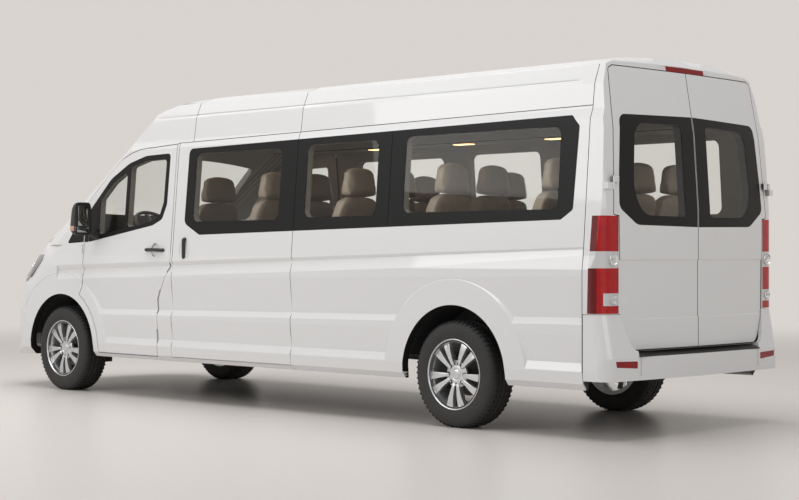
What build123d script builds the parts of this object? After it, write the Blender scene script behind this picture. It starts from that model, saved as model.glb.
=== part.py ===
from build123d import *
import math
import os

os.makedirs("parts", exist_ok=True)

# A long, high-roofed minibus. All sizes are in millimetres.
# x runs forward from the rear axle, y to the left and z up from the ground.
# The last step moves every piece back so that x = 0 is the middle of the length.

# Overall
WHEELBASE = 4535
FRONT_OVERHANG = 1015
REAR_OVERHANG = 1335
SIDE_Y = 992
WALL = 60
PANEL_GAP = 6
SEAM_WIDTH = 5
SEAM_DEPTH = 9
SEAT_GAP = 0.3

# Wheels
TYRE_RADIUS = 357
TYRE_WIDTH = 235
RIM_RADIUS = 241
WHEEL_Y = 864
ARCH_RADIUS = 465
ARCH_FLARE_RADIUS = 640
KINGPIN_Y = 800

# Body section, from the sill to the edge of the roof: half width, height
SILL_Z = 310
NOSE_BOTTOM_Z = 290
BODY_SECTION = [
    (935, NOSE_BOTTOM_Z), (985, 350), (SIDE_Y, 420), (SIDE_Y, 1065), (980, 1150),
    (965, 1330), (908, 2010), (882, 2075), (862, 2235), (812, 2360), (700, 2402),
]
CROWN_Z = 2439

# Creases along the side: height at the rear axle, rise per mm towards the front
BELT_Z, BELT_SLOPE = 1160, -0.0292
WAIST_Z, WAIST_SLOPE = 752, -0.0114

# Tail
TAIL_X = -1285
TAIL_CORNER_RADIUS = 105
TAIL_BOW_RADIUS = 10500
TAIL_LEANS = [(1450, 4.0), (1950, 9.5), (2392, 42.0)]  # height where it starts, degrees

# Roof front and windscreen
HEADER_X = 2750
SCREEN_ANGLE = 33.5
SCREEN_X, SCREEN_Z = 4286, 1884
SCREEN_BOW_RADIUS = 3300
COWL_X = 5025

# Nose
NOSE_X = WHEELBASE + FRONT_OVERHANG
NOSE_BOW_RADIUS = 2450
NOSE_CORNER_RADIUS = 450
NOSE_LEANS = [(760, 23.0), (1120, 50.0)]  # height where it starts, degrees
BONNET_SLOPE = 22.8
BONNET_REF_X = 4820
NOSE_SECTION = [(SIDE_Y, 985), (965, 1140), (880, 1283), (600, 1440)]  # at BONNET_REF_X
BONNET_CROWN_Z = 1478

# Side openings and seams
DOOR_FRONT_X = 4220
DOOR_ARCH_RADIUS = 535
DOOR_REAR_X = 3205
DOOR_TOP_REAR_X = 3048
SLIDE_FRONT_X = 3018
SLIDE_REAR_X = 1610
DOOR_BOTTOM_Z = 345
CANT_FRONT_Z, CANT_REAR_Z = 2045, 2096
CORNER_POST_X = -1100
BUMPER_TOP_Z = 787

# Rear doors
REAR_DOOR_Y = 865
REAR_DOOR_TOP_Y = 800
REAR_DOOR_BOTTOM_Z = 560
REAR_DOOR_TOP_Z = 2350

# Hinges
DOOR_AXIS = (4223, 996)
DOOR_HINGE_Z = (915, 1165)
DOOR_PIN_RADIUS = 4
DOOR_EDGE_BEVEL = 14
REAR_DOOR_AXIS = (-1262, 885)
BONNET_AXIS = (5067, 1338)

# Floor
FLOOR_Z = 640
FLOOR_THICKNESS = 40


def side_prism(edges, y_low, y_high):
    """Solid whose outline is drawn in x and z."""
    face = Plane.XZ.offset(-y_high) * make_face(edges)
    return extrude(face, y_high - y_low, dir=(0, -1, 0))


def cross_prism(edges, x_low, x_high):
    """Solid whose outline is drawn in y and z."""
    face = Plane.YZ.offset(x_low) * make_face(edges)
    return extrude(face, x_high - x_low, dir=(1, 0, 0))


def plan_prism(edges, z_low, z_high):
    """Solid whose outline is drawn in x and y."""
    face = Plane.XY.offset(z_low) * make_face(edges)
    return extrude(face, z_high - z_low, dir=(0, 0, 1))


def block(x, y, z):
    """Box between a low and a high value on each axis."""
    size = (x[1] - x[0], y[1] - y[0], z[1] - z[0])
    return Pos((x[0] + x[1]) / 2, (y[0] + y[1]) / 2, (z[0] + z[1]) / 2) * Box(*size)


def rod(radius, start, end):
    """Round bar between two points."""
    start, end = Vector(*start), Vector(*end)
    axis = end - start
    return Plane(origin=start + axis / 2, z_dir=axis) * Cylinder(radius, axis.length)


def ring_y(outer, inner, y_low, y_high, x=0, z=TYRE_RADIUS):
    """Ring about an axis across the vehicle."""
    middle = Pos(x, (y_low + y_high) / 2, z) * Rot(90, 0, 0)
    body = Cylinder(outer, y_high - y_low)
    if inner:
        body -= Cylinder(inner, 2 * (y_high - y_low))
    return middle * body


def other_side(shape):
    """The same piece on the right-hand side."""
    return mirror(shape, about=Plane.XZ)


def together(*shapes):
    """Solids of one node that aren't fused."""
    solids = [solid for shape in shapes for solid in shape.solids()]
    return Compound(solids)


def both(shape):
    """A left-hand piece and its right-hand twin, as one node."""
    return together(shape, other_side(shape))


def closed(points, radii=0):
    """Closed outline with rounded corners; radii is one value or one for each point."""
    if isinstance(radii, (int, float)):
        radii = [radii] * len(points)
    return FilletPolyline(*points, radius=radii, close=True)


# Body envelope: every surface is drawn inwards by the same inset to get the inner skin
def section_prism(inset):
    """The body's cross section along the whole length."""
    left = Polyline(*BODY_SECTION)
    right = Polyline(*[(-y, z) for y, z in BODY_SECTION])
    base = Line(right @ 0, left @ 0)
    crown = ThreePointArc(left @ 1, (0, CROWN_Z), right @ 1)
    face = make_face([*left.edges(), *right.edges(), base.edge(), crown.edge()])
    if inset:
        face = offset(face, -inset, kind=Kind.INTERSECTION)
    return extrude(Plane.YZ.offset(TAIL_X - 100) * face, NOSE_X - TAIL_X + 200, dir=(1, 0, 0))


def tail_prism(inset, start_x, height, lean):
    """Prism with the tail's plan outline, tilted forward above a height."""
    tilt = math.radians(lean)
    half = 1300
    corner = TAIL_CORNER_RADIUS - inset
    rear_x = start_x * math.cos(tilt) + inset
    bow = half ** 2 / (2 * TAIL_BOW_RADIUS)
    side = SIDE_Y - inset
    rear = ThreePointArc((rear_x + bow, -half), (rear_x, 0), (rear_x + bow, half))
    front = Polyline((rear_x + bow, half), (7000, half), (7000, -half), (rear_x + bow, -half))
    upright = make_face([rear.edge(), *front.edges()])
    sides = Pos(rear_x + 4000, 0) * Rectangle(8000, 2 * side)
    outline = upright & sides
    corners = outline.vertices().sort_by(Axis.X)[:2]
    outline = fillet(corners, corner)
    plane = Plane(
        origin=(0, 0, height),
        x_dir=(math.cos(tilt), 0, -math.sin(tilt)),
        z_dir=(math.sin(tilt), 0, math.cos(tilt)),
    )
    return extrude(plane * outline, 9000, both=True)


def tunnel(inset):
    """Roof, header curve and windscreen as one arched tunnel bent about a cross axis."""
    camber = crown_radius() - inset
    turn = math.radians(SCREEN_ANGLE)
    run = (CROWN_Z - SCREEN_Z) / math.tan(turn)
    meet_x = SCREEN_X - run
    bend = (meet_x - HEADER_X) / math.tan(turn / 2)
    crown = CROWN_Z - inset
    axis_z = CROWN_Z - bend
    half = 1150
    drop = camber - math.sqrt(camber ** 2 - half ** 2)
    arc = ThreePointArc((half, crown - drop), (0, crown), (-half, crown - drop))
    legs = Polyline((-half, crown - drop), (-half, axis_z), (half, axis_z), (half, crown - drop))
    face = make_face([arc.edge(), *legs.edges()])
    start = Plane.YZ.offset(HEADER_X)
    hinge_line = Axis((HEADER_X, 0, axis_z), (0, 1, 0))
    roof = extrude(start * face, 5000, dir=(-1, 0, 0))
    header = revolve(start * face, hinge_line, SCREEN_ANGLE)
    end = (start * face).rotate(hinge_line, SCREEN_ANGLE)
    screen = extrude(end, 2600, dir=(math.cos(turn), 0, -math.sin(turn)))
    return roof + header + screen


def crown_radius():
    """Radius of the roof's camber."""
    edge_y, edge_z = BODY_SECTION[-1]
    rise = CROWN_Z - edge_z
    return (edge_y ** 2 + rise ** 2) / (2 * rise)


def screen_arch(inset):
    """Arch along the windscreen's slope, bowed in the middle and rounded to the pillars."""
    turn = math.radians(SCREEN_ANGLE)
    plane = Plane(
        origin=(SCREEN_X, 0, SCREEN_Z),
        x_dir=(0, 1, 0),
        z_dir=(math.cos(turn), 0, -math.sin(turn)),
    )
    edge = 730
    drop = edge ** 2 / (2 * SCREEN_BOW_RADIUS)
    top = ThreePointArc((edge, -drop), (0, 0), (-edge, -drop))
    left = ThreePointArc((1010, -520), (885, -205), (edge, -drop))
    right = ThreePointArc((-1010, -520), (-885, -205), (-edge, -drop))
    base = Polyline((1010, -520), (1060, -6500), (-1060, -6500), (-1010, -520))
    face = make_face([top.edge(), left.edge(), right.edge(), *base.edges()])
    if inset:
        face = offset(face, -inset, kind=Kind.INTERSECTION)
    return extrude(plane * face, 6000, both=True)


def cabin(inset):
    """Everything behind the cowl."""
    body = section_prism(inset) & tail_prism(inset, TAIL_X, 0, 0)
    start_x, last_z, last_lean = TAIL_X, 0, 0
    for height, lean in TAIL_LEANS:
        start_x += (height - last_z) * math.tan(math.radians(last_lean))
        body &= tail_prism(inset, start_x, height, lean)
        last_z, last_lean = height, lean
    body &= tunnel(inset)
    body &= screen_arch(inset)
    return body & block((-3000, COWL_X - inset), (-1500, 1500), (SILL_Z + inset, 3000))


def nose(inset):
    """Wings, bonnet and front face ahead of the cowl."""
    slope = math.radians(BONNET_SLOPE)
    drawn = [(y, z * math.cos(slope)) for y, z in NOSE_SECTION]
    crown = (0, BONNET_CROWN_Z * math.cos(slope))
    edges = []
    for hand in (1, -1):
        points = [(hand * y, v) for y, v in drawn]
        edges.append(Line((hand * SIDE_Y, -2600), points[0]).edge())
        edges.append(ThreePointArc(*points[:3]).edge())
        edges.append(Line(points[2], points[3]).edge())
    edges.append(ThreePointArc((drawn[3][0], drawn[3][1]), crown, (-drawn[3][0], drawn[3][1])).edge())
    edges.append(Line((SIDE_Y, -2600), (-SIDE_Y, -2600)).edge())
    face = make_face(edges)
    if inset:
        face = offset(face, -inset, kind=Kind.INTERSECTION)
    plane = Plane(
        origin=(BONNET_REF_X, 0, 0),
        x_dir=(0, 1, 0),
        z_dir=(math.cos(slope), 0, -math.sin(slope)),
    )
    hood = extrude(plane * face, 3200, both=True)
    body = hood & section_prism(inset) & front_prism(inset, NOSE_X, 0, 0)
    start_x, last_z, last_lean = NOSE_X, 0, 0
    for height, lean in NOSE_LEANS:
        start_x -= (height - last_z) * math.tan(math.radians(last_lean))
        body &= front_prism(inset, start_x, height, lean)
        last_z, last_lean = height, lean
    return body & block((DOOR_FRONT_X + PANEL_GAP, 7000), (-1500, 1500), (NOSE_BOTTOM_Z + inset, 3000))


def front_prism(inset, start_x, height, lean):
    """Prism with the nose's plan outline, leaning back above a height."""
    tilt = math.radians(lean)
    half = 1300
    front_x = start_x * math.cos(tilt) - inset
    bow = half ** 2 / (2 * NOSE_BOW_RADIUS)
    face_arc = ThreePointArc((front_x - bow, -half), (front_x, 0), (front_x - bow, half))
    back = Polyline((front_x - bow, half), (0, half), (0, -half), (front_x - bow, -half))
    outline = make_face([face_arc.edge(), *back.edges()])
    outline &= Pos(3000, 0) * Rectangle(6000, 2 * (SIDE_Y - inset))
    corners = outline.vertices().sort_by(Axis.X)[-2:]
    outline = fillet(corners, NOSE_CORNER_RADIUS - inset)
    plane = Plane(
        origin=(0, 0, height),
        x_dir=(math.cos(tilt), 0, math.sin(tilt)),
        z_dir=(-math.sin(tilt), 0, math.cos(tilt)),
    )
    return extrude(plane * outline, 9000, both=True)


def body_solid(inset):
    return cabin(inset) + nose(inset)


# Outlines of the openings and seams, in x and z
def cant_z(x):
    """Height of the seam between the sides and the roof."""
    share = (x - CORNER_POST_X) / (SLIDE_FRONT_X - CORNER_POST_X)
    return CANT_REAR_Z + share * (CANT_FRONT_Z - CANT_REAR_Z)


def door_outline():
    """Front door, with the wheel arch cut out of its lower corner."""
    arch_low = math.sqrt(DOOR_ARCH_RADIUS ** 2 - (TYRE_RADIUS - DOOR_BOTTOM_Z) ** 2)
    turn = math.radians(120)
    arch_top = (
        WHEELBASE + DOOR_ARCH_RADIUS * math.cos(turn),
        TYRE_RADIUS + DOOR_ARCH_RADIUS * math.sin(turn),
    )
    turn = math.radians(150)
    arch_mid = (
        WHEELBASE + DOOR_ARCH_RADIUS * math.cos(turn),
        TYRE_RADIUS + DOOR_ARCH_RADIUS * math.sin(turn),
    )
    arch = ThreePointArc((WHEELBASE - arch_low, DOOR_BOTTOM_Z), arch_mid, arch_top)
    front = Polyline(arch_top, (DOOR_FRONT_X, 890), (DOOR_FRONT_X, 1580), (3983, 1791))
    top = ThreePointArc((3983, 1791), (3700, 1965), (3370, 2020))
    rear = Polyline(
        (3370, 2020), (DOOR_TOP_REAR_X, 2036), (DOOR_TOP_REAR_X, 1060), (3150, 905),
        (DOOR_REAR_X, 800), (DOOR_REAR_X, DOOR_BOTTOM_Z), arch @ 0,
    )
    return make_face([arch.edge(), *front.edges(), top.edge(), *rear.edges()])


DOOR_GLASS = [
    (4165, 1262), (3300, 1392), (3180, 1440), (3128, 1560), (3122, 1968), (3440, 1960),
    (3660, 1908), (3900, 1786), (4165, 1535),
]
DOOR_GLASS_RADII = [15, 60, 60, 60, 35, 200, 300, 250, 25]
DOOR_PANES = [
    [(3640, 1378), (3345, 1420), (3215, 1475), (3175, 1580), (3170, 1925), (3440, 1918), (3640, 1872)],
    [(4030, 1322), (3680, 1372), (3680, 1850), (3880, 1745), (4030, 1615)],
]
QUARTER_GLASS = [(4232, 1262), (4470, 1252), (4340, 1420), (4232, 1530)]

BAND = [
    (-905, 1378), (2700, 1311), (2893, 1404), (2885, 1993), (-952, 2040), (-1020, 1969),
    (-1000, 1440),
]
BAND_RADII = [25, 60, 60, 45, 30, 30, 30]
BAND_SEAMS = [635, 1610]
PANE_SPANS = [(-872, 495, 1446, 1972), (762, 1500, 1430, 1962), (1783, 2790, 1417, 1950)]
PANE_RADIUS = 55


def face_prism(points, radii, y_low=0, y_high=1500):
    """Solid through the left side with a rounded outline."""
    return side_prism(closed(points, radii).edges(), y_low, y_high)


def pane_prism(span, grow=0):
    """One side window pane."""
    x_low, x_high, z_low, z_high = span
    points = [
        (x_low - grow, z_low - grow), (x_high + grow, z_low - grow),
        (x_high + grow, z_high + grow), (x_low - grow, z_high + grow),
    ]
    return face_prism(points, PANE_RADIUS + grow)


# Rear door outline, in y and z
REAR_DOOR = [
    (3, REAR_DOOR_BOTTOM_Z), (730, REAR_DOOR_BOTTOM_Z), (800, 790), (812, 1403), (REAR_DOOR_Y, 1410),
    (REAR_DOOR_Y - 8, 1500), (REAR_DOOR_TOP_Y, 2330), (760, REAR_DOOR_TOP_Z), (3, REAR_DOOR_TOP_Z),
]
REAR_DOOR_RADII = [0, 70, 30, 0, 12, 0, 25, 25, 0]
REAR_BAND = [
    (6, 1337), (640, 1345), (812, 1452), (800, 1650), (757, 2043), (6, 2060),
]
REAR_BAND_RADII = [0, 120, 60, 200, 60, 0]
REAR_PANE = [(140, 1402), (600, 1408), (662, 1590), (618, 1995), (140, 2002)]
REAR_PANE_RADII = [30, 150, 200, 110, 30]


def rear_prism(points, radii, x_low=-1600, x_high=-900):
    """Solid through the tail with a rounded outline."""
    return cross_prism(closed(points, radii).edges(), x_low, x_high)


def save(shape, node):
    """Writes one node, with x = 0 moved to the middle of the length."""
    moved = Pos(-(FRONT_OVERHANG + WHEELBASE - REAR_OVERHANG) / 2, 0, 0) * together(shape)
    export_step(moved, f"parts/{node}.step")
    print(node, len(moved.solids()))


print("envelope")
outer = body_solid(0)
skin_glass = body_solid(1.5)
skin_frame = body_solid(1)
skin_seam = body_solid(SEAM_DEPTH)
inner = body_solid(WALL)
under = block((-1800, COWL_X - WALL), (-925, 925), (0, SILL_Z + WALL + 1))
under += block((4000, NOSE_X - 75), (-860, 860), (0, NOSE_BOTTOM_Z + WALL + 1))
front_zone = nose(0)

# Creases: wedges that run along the side, left off inside the wheel arch flares
def crease(points, base_z, slope, x_low, x_high):
    """Wedge cut along the side; points are half width and height above the crease."""
    outline = Polyline(*[(y, base_z + slope * x_low + dz) for y, dz in points], close=True)
    face = Plane.YZ.offset(x_low) * make_face(outline.edges())
    return extrude(face, (x_high - x_low) * math.hypot(1, slope), dir=(1, 0, slope))


WAIST_WEDGE = [(SIDE_Y + 4, -50), (968, 0), (SIDE_Y + 4, 300)]
SILL_WEDGE = [(SIDE_Y + 4, -65), (975, 0), (SIDE_Y + 4, 210)]
BELT_WEDGE = [(SIDE_Y + 4, -95), (968, 0), (SIDE_Y + 4, 50)]
SILL_CREASE_Z = 480
flares = Part()
for axle_x in (0, WHEELBASE):
    cone = Cone(ARCH_FLARE_RADIUS + 28, ARCH_FLARE_RADIUS - 12, 40)
    flares += Pos(axle_x, 980, TYRE_RADIUS) * Rot(-90, 0, 0) * cone
creases = crease(WAIST_WEDGE, WAIST_Z, WAIST_SLOPE, CORNER_POST_X + 5, WHEELBASE) - flares
creases += crease(SILL_WEDGE, SILL_CREASE_Z, 0, CORNER_POST_X + 5, WHEELBASE) - flares
creases += crease(BELT_WEDGE, BELT_Z, BELT_SLOPE, CORNER_POST_X + 5, 4600)

arches = Part()
for axle_x in (0, WHEELBASE):
    arches += ring_y(ARCH_RADIUS, 0, 500, 1100, x=axle_x)

# Windows cut through the side, and the shallow rebates that their glass lies in
band_prism = face_prism(BAND, BAND_RADII)
panes = Part() + [pane_prism(span) for span in PANE_SPANS]
door_glass_prism = face_prism(DOOR_GLASS, DOOR_GLASS_RADII, 700)
door_panes = Part() + [face_prism(points, 35, 700) for points in DOOR_PANES]
quarter_prism = face_prism(QUARTER_GLASS, 12, 700)
side_frame_cut = (band_prism + door_glass_prism + quarter_prism) - skin_seam
side_holes = panes + door_panes

# Windscreen, across the slope of its plane
turn = math.radians(SCREEN_ANGLE)
SCREEN_PLANE = Plane(
    origin=(SCREEN_X, 0, SCREEN_Z),
    x_dir=(0, 1, 0),
    z_dir=(math.sin(turn), 0, math.cos(turn)),
)
# half width, distance along the slope measured up from the plane's origin
SCREEN_OUTLINE = [(905, -850), (760, 345), (-760, 345), (-905, -850)]
SCREEN_CLEAR = [(815, -760), (700, 275), (-700, 275), (-815, -760)]
screen_prism = extrude(SCREEN_PLANE * make_face(closed(SCREEN_OUTLINE, 60).edges()), 500, both=True)
clear_prism = extrude(SCREEN_PLANE * make_face(closed(SCREEN_CLEAR, 60).edges()), 500, both=True)
ahead = block((3700, 7000), (-1500, 1500), (1100, 3000))
screen_prism &= ahead
clear_prism &= ahead

# Rear windows
rear_band = rear_prism(REAR_BAND, REAR_BAND_RADII)
rear_pane = rear_prism(REAR_PANE, REAR_PANE_RADII)

side_cuts = side_frame_cut + side_holes + creases + arches
cuts = side_cuts + other_side(side_cuts)
cuts += (screen_prism - skin_seam) - front_zone + (clear_prism - front_zone)
rear_cuts = (rear_band - skin_seam) + rear_pane
cuts += rear_cuts + other_side(rear_cuts)
shell = outer - inner - under - cuts
print("shell", shell.is_valid, len(shell.solids()))

# Panels, each a zone of the shell
door_face = door_outline()
door_prism = side_prism(door_face.edges(), 600, 1500)
door_hole = side_prism(offset(door_face, PANEL_GAP).edges(), 600, 1500)
rear_reach = (-1600, CORNER_POST_X + 5)
rear_door_prism = rear_prism(REAR_DOOR, REAR_DOOR_RADII, *rear_reach)
rear_door_face = make_face(closed(REAR_DOOR, REAR_DOOR_RADII).edges())
rear_door_hole = cross_prism(offset(rear_door_face, PANEL_GAP).edges(), *rear_reach)

BONNET_X = 5072
COWL_STRIP = (COWL_X - 1, 5062)
HINGE_KNUCKLES = (285, 315, 345)
BONNET_Y = 820
BONNET_FRONT_Z = 1090
BUMPER_SEAM_Z = 640
GRILLE_Y, GRILLE_LOW_Z, GRILLE_TOP_Z = 450, 650, 1058
LAMP_FRONT = [(470, 985), (700, 948), (1100, 905), (1100, 1175), (850, 1150), (520, 1062)]
LAMP_SIDE = [(4845, 1180), (4855, 1115), (5020, 965), (5130, 900), (6000, 900), (6000, 1180)]
BODY_LEFT = block((-1600, 7000), (0, 1500), (0, 3000))

cant_rear, cant_front = cant_z(CORNER_POST_X), cant_z(DOOR_TOP_REAR_X)
HEADER_Z = REAR_DOOR_TOP_Z + PANEL_GAP
roof_points = [
    (-1600, HEADER_Z), (CORNER_POST_X, HEADER_Z), (CORNER_POST_X, cant_rear),
    (DOOR_TOP_REAR_X, cant_front), (3200, 1700), (DOOR_FRONT_X, 1240), (6000, 1240),
    (6000, 3000), (-1600, 3000),
]
roof_zone = side_prism(closed(roof_points).edges(), -1500, 1500)
side_points = [
    (CORNER_POST_X, 200), (DOOR_FRONT_X + PANEL_GAP, 200), (DOOR_FRONT_X + PANEL_GAP, 1240),
    (DOOR_FRONT_X, 1240), (3200, 1700), (DOOR_TOP_REAR_X, cant_front),
    (CORNER_POST_X, cant_rear),
]
side_zone = side_prism(closed(side_points).edges(), 0, 1500)
slide_points = [
    (SLIDE_REAR_X, DOOR_BOTTOM_Z), (SLIDE_FRONT_X, DOOR_BOTTOM_Z),
    (SLIDE_FRONT_X, cant_z(SLIDE_FRONT_X)), (SLIDE_REAR_X, cant_z(SLIDE_REAR_X)),
]
slide_zone = side_prism(closed(slide_points).edges(), 0, 1500)

# Seams between panels that stay shut: grooves in the outer skin along their edges
seam_paths = [
    [(SLIDE_REAR_X, 0), (SLIDE_REAR_X, 3000)],
    [(SLIDE_FRONT_X, DOOR_BOTTOM_Z), (SLIDE_FRONT_X, cant_z(SLIDE_FRONT_X))],
    [(2860, cant_z(2860)), (2860, 3000)],
    [(SLIDE_REAR_X, DOOR_BOTTOM_Z), (SLIDE_FRONT_X, DOOR_BOTTOM_Z)],
    [(CORNER_POST_X, cant_rear), (DOOR_TOP_REAR_X, cant_front)],
    [(CORNER_POST_X, 0), (CORNER_POST_X, HEADER_Z)],
]
seams = Part()
for start, end in seam_paths:
    path = Line(start, end)
    face = make_face(path.edge().offset_2d(SEAM_WIDTH / 2, side=Side.BOTH).edges())
    seams += extrude(Plane.XZ.offset(-1500) * face, 3000, dir=(0, -1, 0))
seam_cut = seams - skin_seam
print("seams", seam_cut.volume)

body = shell - door_hole - other_side(door_hole) - rear_door_hole - other_side(rear_door_hole)
fixed = body - seam_cut
tail_zone = block((-1600, CORNER_POST_X), (-1500, 1500), (0, HEADER_Z))
low_tail_zone = block((-1600, CORNER_POST_X), (-1500, 1500), (0, BUMPER_TOP_Z))

STOP_LAMP = (215, 2353.5, 2386)
stop_lamp = outer & block((-1400, -1100), (-STOP_LAMP[0], STOP_LAMP[0]), STOP_LAMP[1:])
stop_lamp -= body_solid(20)
stop_recess = block((-1400, -1100), (-215.3, 215.3), (2353.2, 2386.3)) - body_solid(20.3)
above = (((fixed & roof_zone) - front_zone) - stop_recess).solids().sort_by(SortBy.VOLUME)
roof = Part() + above[-1]
screen_base = above[:-1]
save(roof, "roof")
side = (fixed & side_zone) - slide_zone - tail_zone
save(side, "side_left")
save(other_side(side), "side_right")
slide = fixed & slide_zone
save(slide, "slide_door_left")
save(other_side(slide), "slide_door_right")

# Tail: corner posts, lamps, doors and bumper
LAMP_Z = (790, 1400)
LAMP_INNER_Y = 820
LAMP_DEPTH = 45
# low and high edge, inner and outer edge, colour
LAMP_BANDS = [
    (790, 839, 0, 1100, "red"), (839, 917, 0, 945, "clear"), (839, 917, 945, 1100, "red"),
    (917, 1073, 0, 1100, "red"), (1073, 1178, 0, 1100, "clear"), (1178, 1400, 0, 1100, "red"),
]
lamp_outline = [(-1500, LAMP_Z[0]), (-1139, LAMP_Z[0]), (-1153, LAMP_Z[1]), (-1500, LAMP_Z[1])]
lamp_zone = side_prism(closed(lamp_outline).edges(), LAMP_INNER_Y, 1100)
lamp_core = body_solid(LAMP_DEPTH)
lamps = {"red": [], "clear": []}
for low, high, inner_y, outer_y, colour in LAMP_BANDS:
    band = (outer & lamp_zone & block((-1600, -1000), (inner_y, outer_y), (low, high))) - lamp_core
    lamps[colour].append(band)
posts = (body & tail_zone & block((-1600, 0), (600, 1500), (BUMPER_TOP_Z, HEADER_Z))) - lamp_zone
posts -= seam_cut
HINGE_Z = (1565, 1648)
hinge_mid = (HINGE_Z[0] + HINGE_Z[1]) / 2
axis_x, axis_y = REAR_DOOR_AXIS
posts += block((axis_x, axis_x + 90), (axis_y - 8, 940), (HINGE_Z[0], hinge_mid)) - outer
posts += rod(11, (axis_x, axis_y, HINGE_Z[0]), (axis_x, axis_y, hinge_mid))
save(both(posts), "corner_posts")

rear_door = shell & rear_door_prism
rear_door += block((axis_x, axis_x + 60), (825, 864), (hinge_mid + SEAT_GAP, HINGE_Z[1])) - outer
rear_door += block((axis_x, axis_x + 6), (825, axis_y), (hinge_mid + SEAT_GAP, HINGE_Z[1]))
rear_door += rod(11, (axis_x, axis_y, hinge_mid + SEAT_GAP), (axis_x, axis_y, HINGE_Z[1]))
rear_glass = (rear_pane & skin_glass) - skin_seam
rear_frame = ((rear_band & skin_frame) - skin_seam) - rear_pane
print("rear door", len(rear_door.solids()), len(rear_glass.solids()), len(rear_frame.solids()))
for hand, name in ((1, "left"), (-1, "right")):
    place = (lambda shape: shape) if hand == 1 else other_side
    save(place(rear_door), f"rear_door_{name}")
    save(place(rear_frame), f"rear_frame_{name}")
    save(place(rear_glass), f"rear_glass_{name}")

BUMPER_BACK_X = -REAR_OVERHANG
BUMPER_Z = (370, 516)
BUMPER_WALL = 26


def bumper_solid(inset):
    """Rear bumper: a low band across the tail with a raised corner at each side."""
    solid = section_prism(inset + 3) & tail_prism(inset, BUMPER_BACK_X, 0, 0)
    solid &= tail_prism(inset, BUMPER_BACK_X, BUMPER_Z[1], 10.5)
    return solid & block((-3000, CORNER_POST_X - 3), (-1500, 1500), (BUMPER_Z[0], BUMPER_TOP_Z - 3))


bumper = bumper_solid(0)
hollow = bumper_solid(BUMPER_WALL) & block((-3000, 0), (-1500, 1500), (0, BUMPER_Z[1] - BUMPER_WALL))
hollow += bumper_solid(BUMPER_WALL) & block((-3000, 0), (700, 1500), (0, 3000))
hollow += bumper_solid(BUMPER_WALL) & block((-3000, 0), (-1500, -700), (0, 3000))
bumper -= hollow
bumper -= block((-3000, 0), (-684, 684), (BUMPER_Z[1], 3000))
bumper -= block((TAIL_X + WALL, 0), (-(SIDE_Y - WALL), SIDE_Y - WALL), (0, 3000))
bumper -= rear_door_hole + other_side(rear_door_hole)
REFLECTOR = [(700, 445), (895, 458), (905, 496), (700, 490)]
reflector_zone = rear_prism(REFLECTOR, 6, -1400, -1200)
reflector = (bumper_solid(0) & reflector_zone) - bumper_solid(10)
bumper -= reflector_zone - bumper_solid(10)
bumper -= other_side(reflector_zone) - bumper_solid(10)
save(bumper, "rear_bumper")
lamps["red"] += [reflector, stop_lamp & BODY_LEFT]
for colour, pieces in lamps.items():
    save(both(together(*pieces)), f"rear_lamps_{colour}")
step = [(-1322, BUMPER_Z[1] + SEAT_GAP), (-1322, 522), (-1236, 553), (-1236, BUMPER_Z[1] + SEAT_GAP)]
save(side_prism(closed(step).edges(), -681, 681), "rear_step")

# Front end
bumper_zone = block((4880, 7000), (-1500, 1500), (0, BUMPER_SEAM_Z))
grille_zone = block((5150, 7000), (-GRILLE_Y, GRILLE_Y), (GRILLE_LOW_Z, GRILLE_TOP_Z))
lamp_front = cross_prism(closed(LAMP_FRONT, 18).edges(), 4700, 6000)
lamp_front &= side_prism(closed(LAMP_SIDE, 0).edges(), 0, 1500)
lamp_fronts = lamp_front + other_side(lamp_front)
bonnet_zone = block((BONNET_X, 7000), (-BONNET_Y, BONNET_Y), (BONNET_FRONT_Z, 3000))
bonnet_gap = block(
    (COWL_X, 7000), (-BONNET_Y - PANEL_GAP, BONNET_Y + PANEL_GAP), (BONNET_FRONT_Z - PANEL_GAP, 3000)
)
front = fixed & front_zone
INTAKE = [(-540, 372), (540, 372), (500, 520), (-500, 520)]
intake_zone = cross_prism(closed(INTAKE, 25).edges(), 5000, 6000)
FOG_SLOT = [(745, 452), (800, 452), (790, 632), (755, 632)]
fog_zone = cross_prism(closed(FOG_SLOT, 15).edges(), 4800, 6000)
fog_zone += other_side(fog_zone)
front_bumper = (front & bumper_zone) - intake_zone - (fog_zone - body_solid(20))
save(front_bumper, "front_bumper")
wings = front - bumper_zone - grille_zone - lamp_fronts - bonnet_gap
wings -= block((COWL_X, 5066), (-BONNET_Y - PANEL_GAP, BONNET_Y + PANEL_GAP), (1000, 3000))
for hand in (1, -1):
    tab_y = sorted((hand * 955, hand * (DOOR_AXIS[1] + 2)))
    for low in DOOR_HINGE_Z:
        wings += block((4222, 4227), tab_y, (low, low + 40))
        hinge_y = hand * DOOR_AXIS[1]
        wings += rod(DOOR_PIN_RADIUS, (DOOR_AXIS[0], hinge_y, low), (DOOR_AXIS[0], hinge_y, low + 40))
save(wings, "front_wings")
bonnet = (shell & front_zone) & bonnet_zone
bonnet -= lamp_fronts
knuckle_start, knuckle_mid, knuckle_end = HINGE_KNUCKLES
bonnet -= both(ring_y(9, 0, knuckle_start - 3, knuckle_mid, *BONNET_AXIS))
bonnet += both(ring_y(7, 0, knuckle_mid + SEAT_GAP, knuckle_end, *BONNET_AXIS))
save(bonnet, "bonnet")
lamp_back = body_solid(LAMP_DEPTH)
headlamps = ((outer & lamp_front) - lamp_back)
save(both(headlamps), "headlamps")
grille_outer, grille_inner = body_solid(6), body_solid(36)
grille = (grille_outer & grille_zone) - grille_inner
for slot in range(5):
    low = GRILLE_LOW_Z + 45 + slot * 70
    grille -= block((5000, 6000), (-GRILLE_Y + 35, GRILLE_Y - 35), (low, low + 42))
lower_grille = (grille_outer & intake_zone) - grille_inner
for slot in range(3):
    low = 388 + slot * 45
    lower_grille -= block((5000, 6000), (-470, 470), (low, low + 26))
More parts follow.
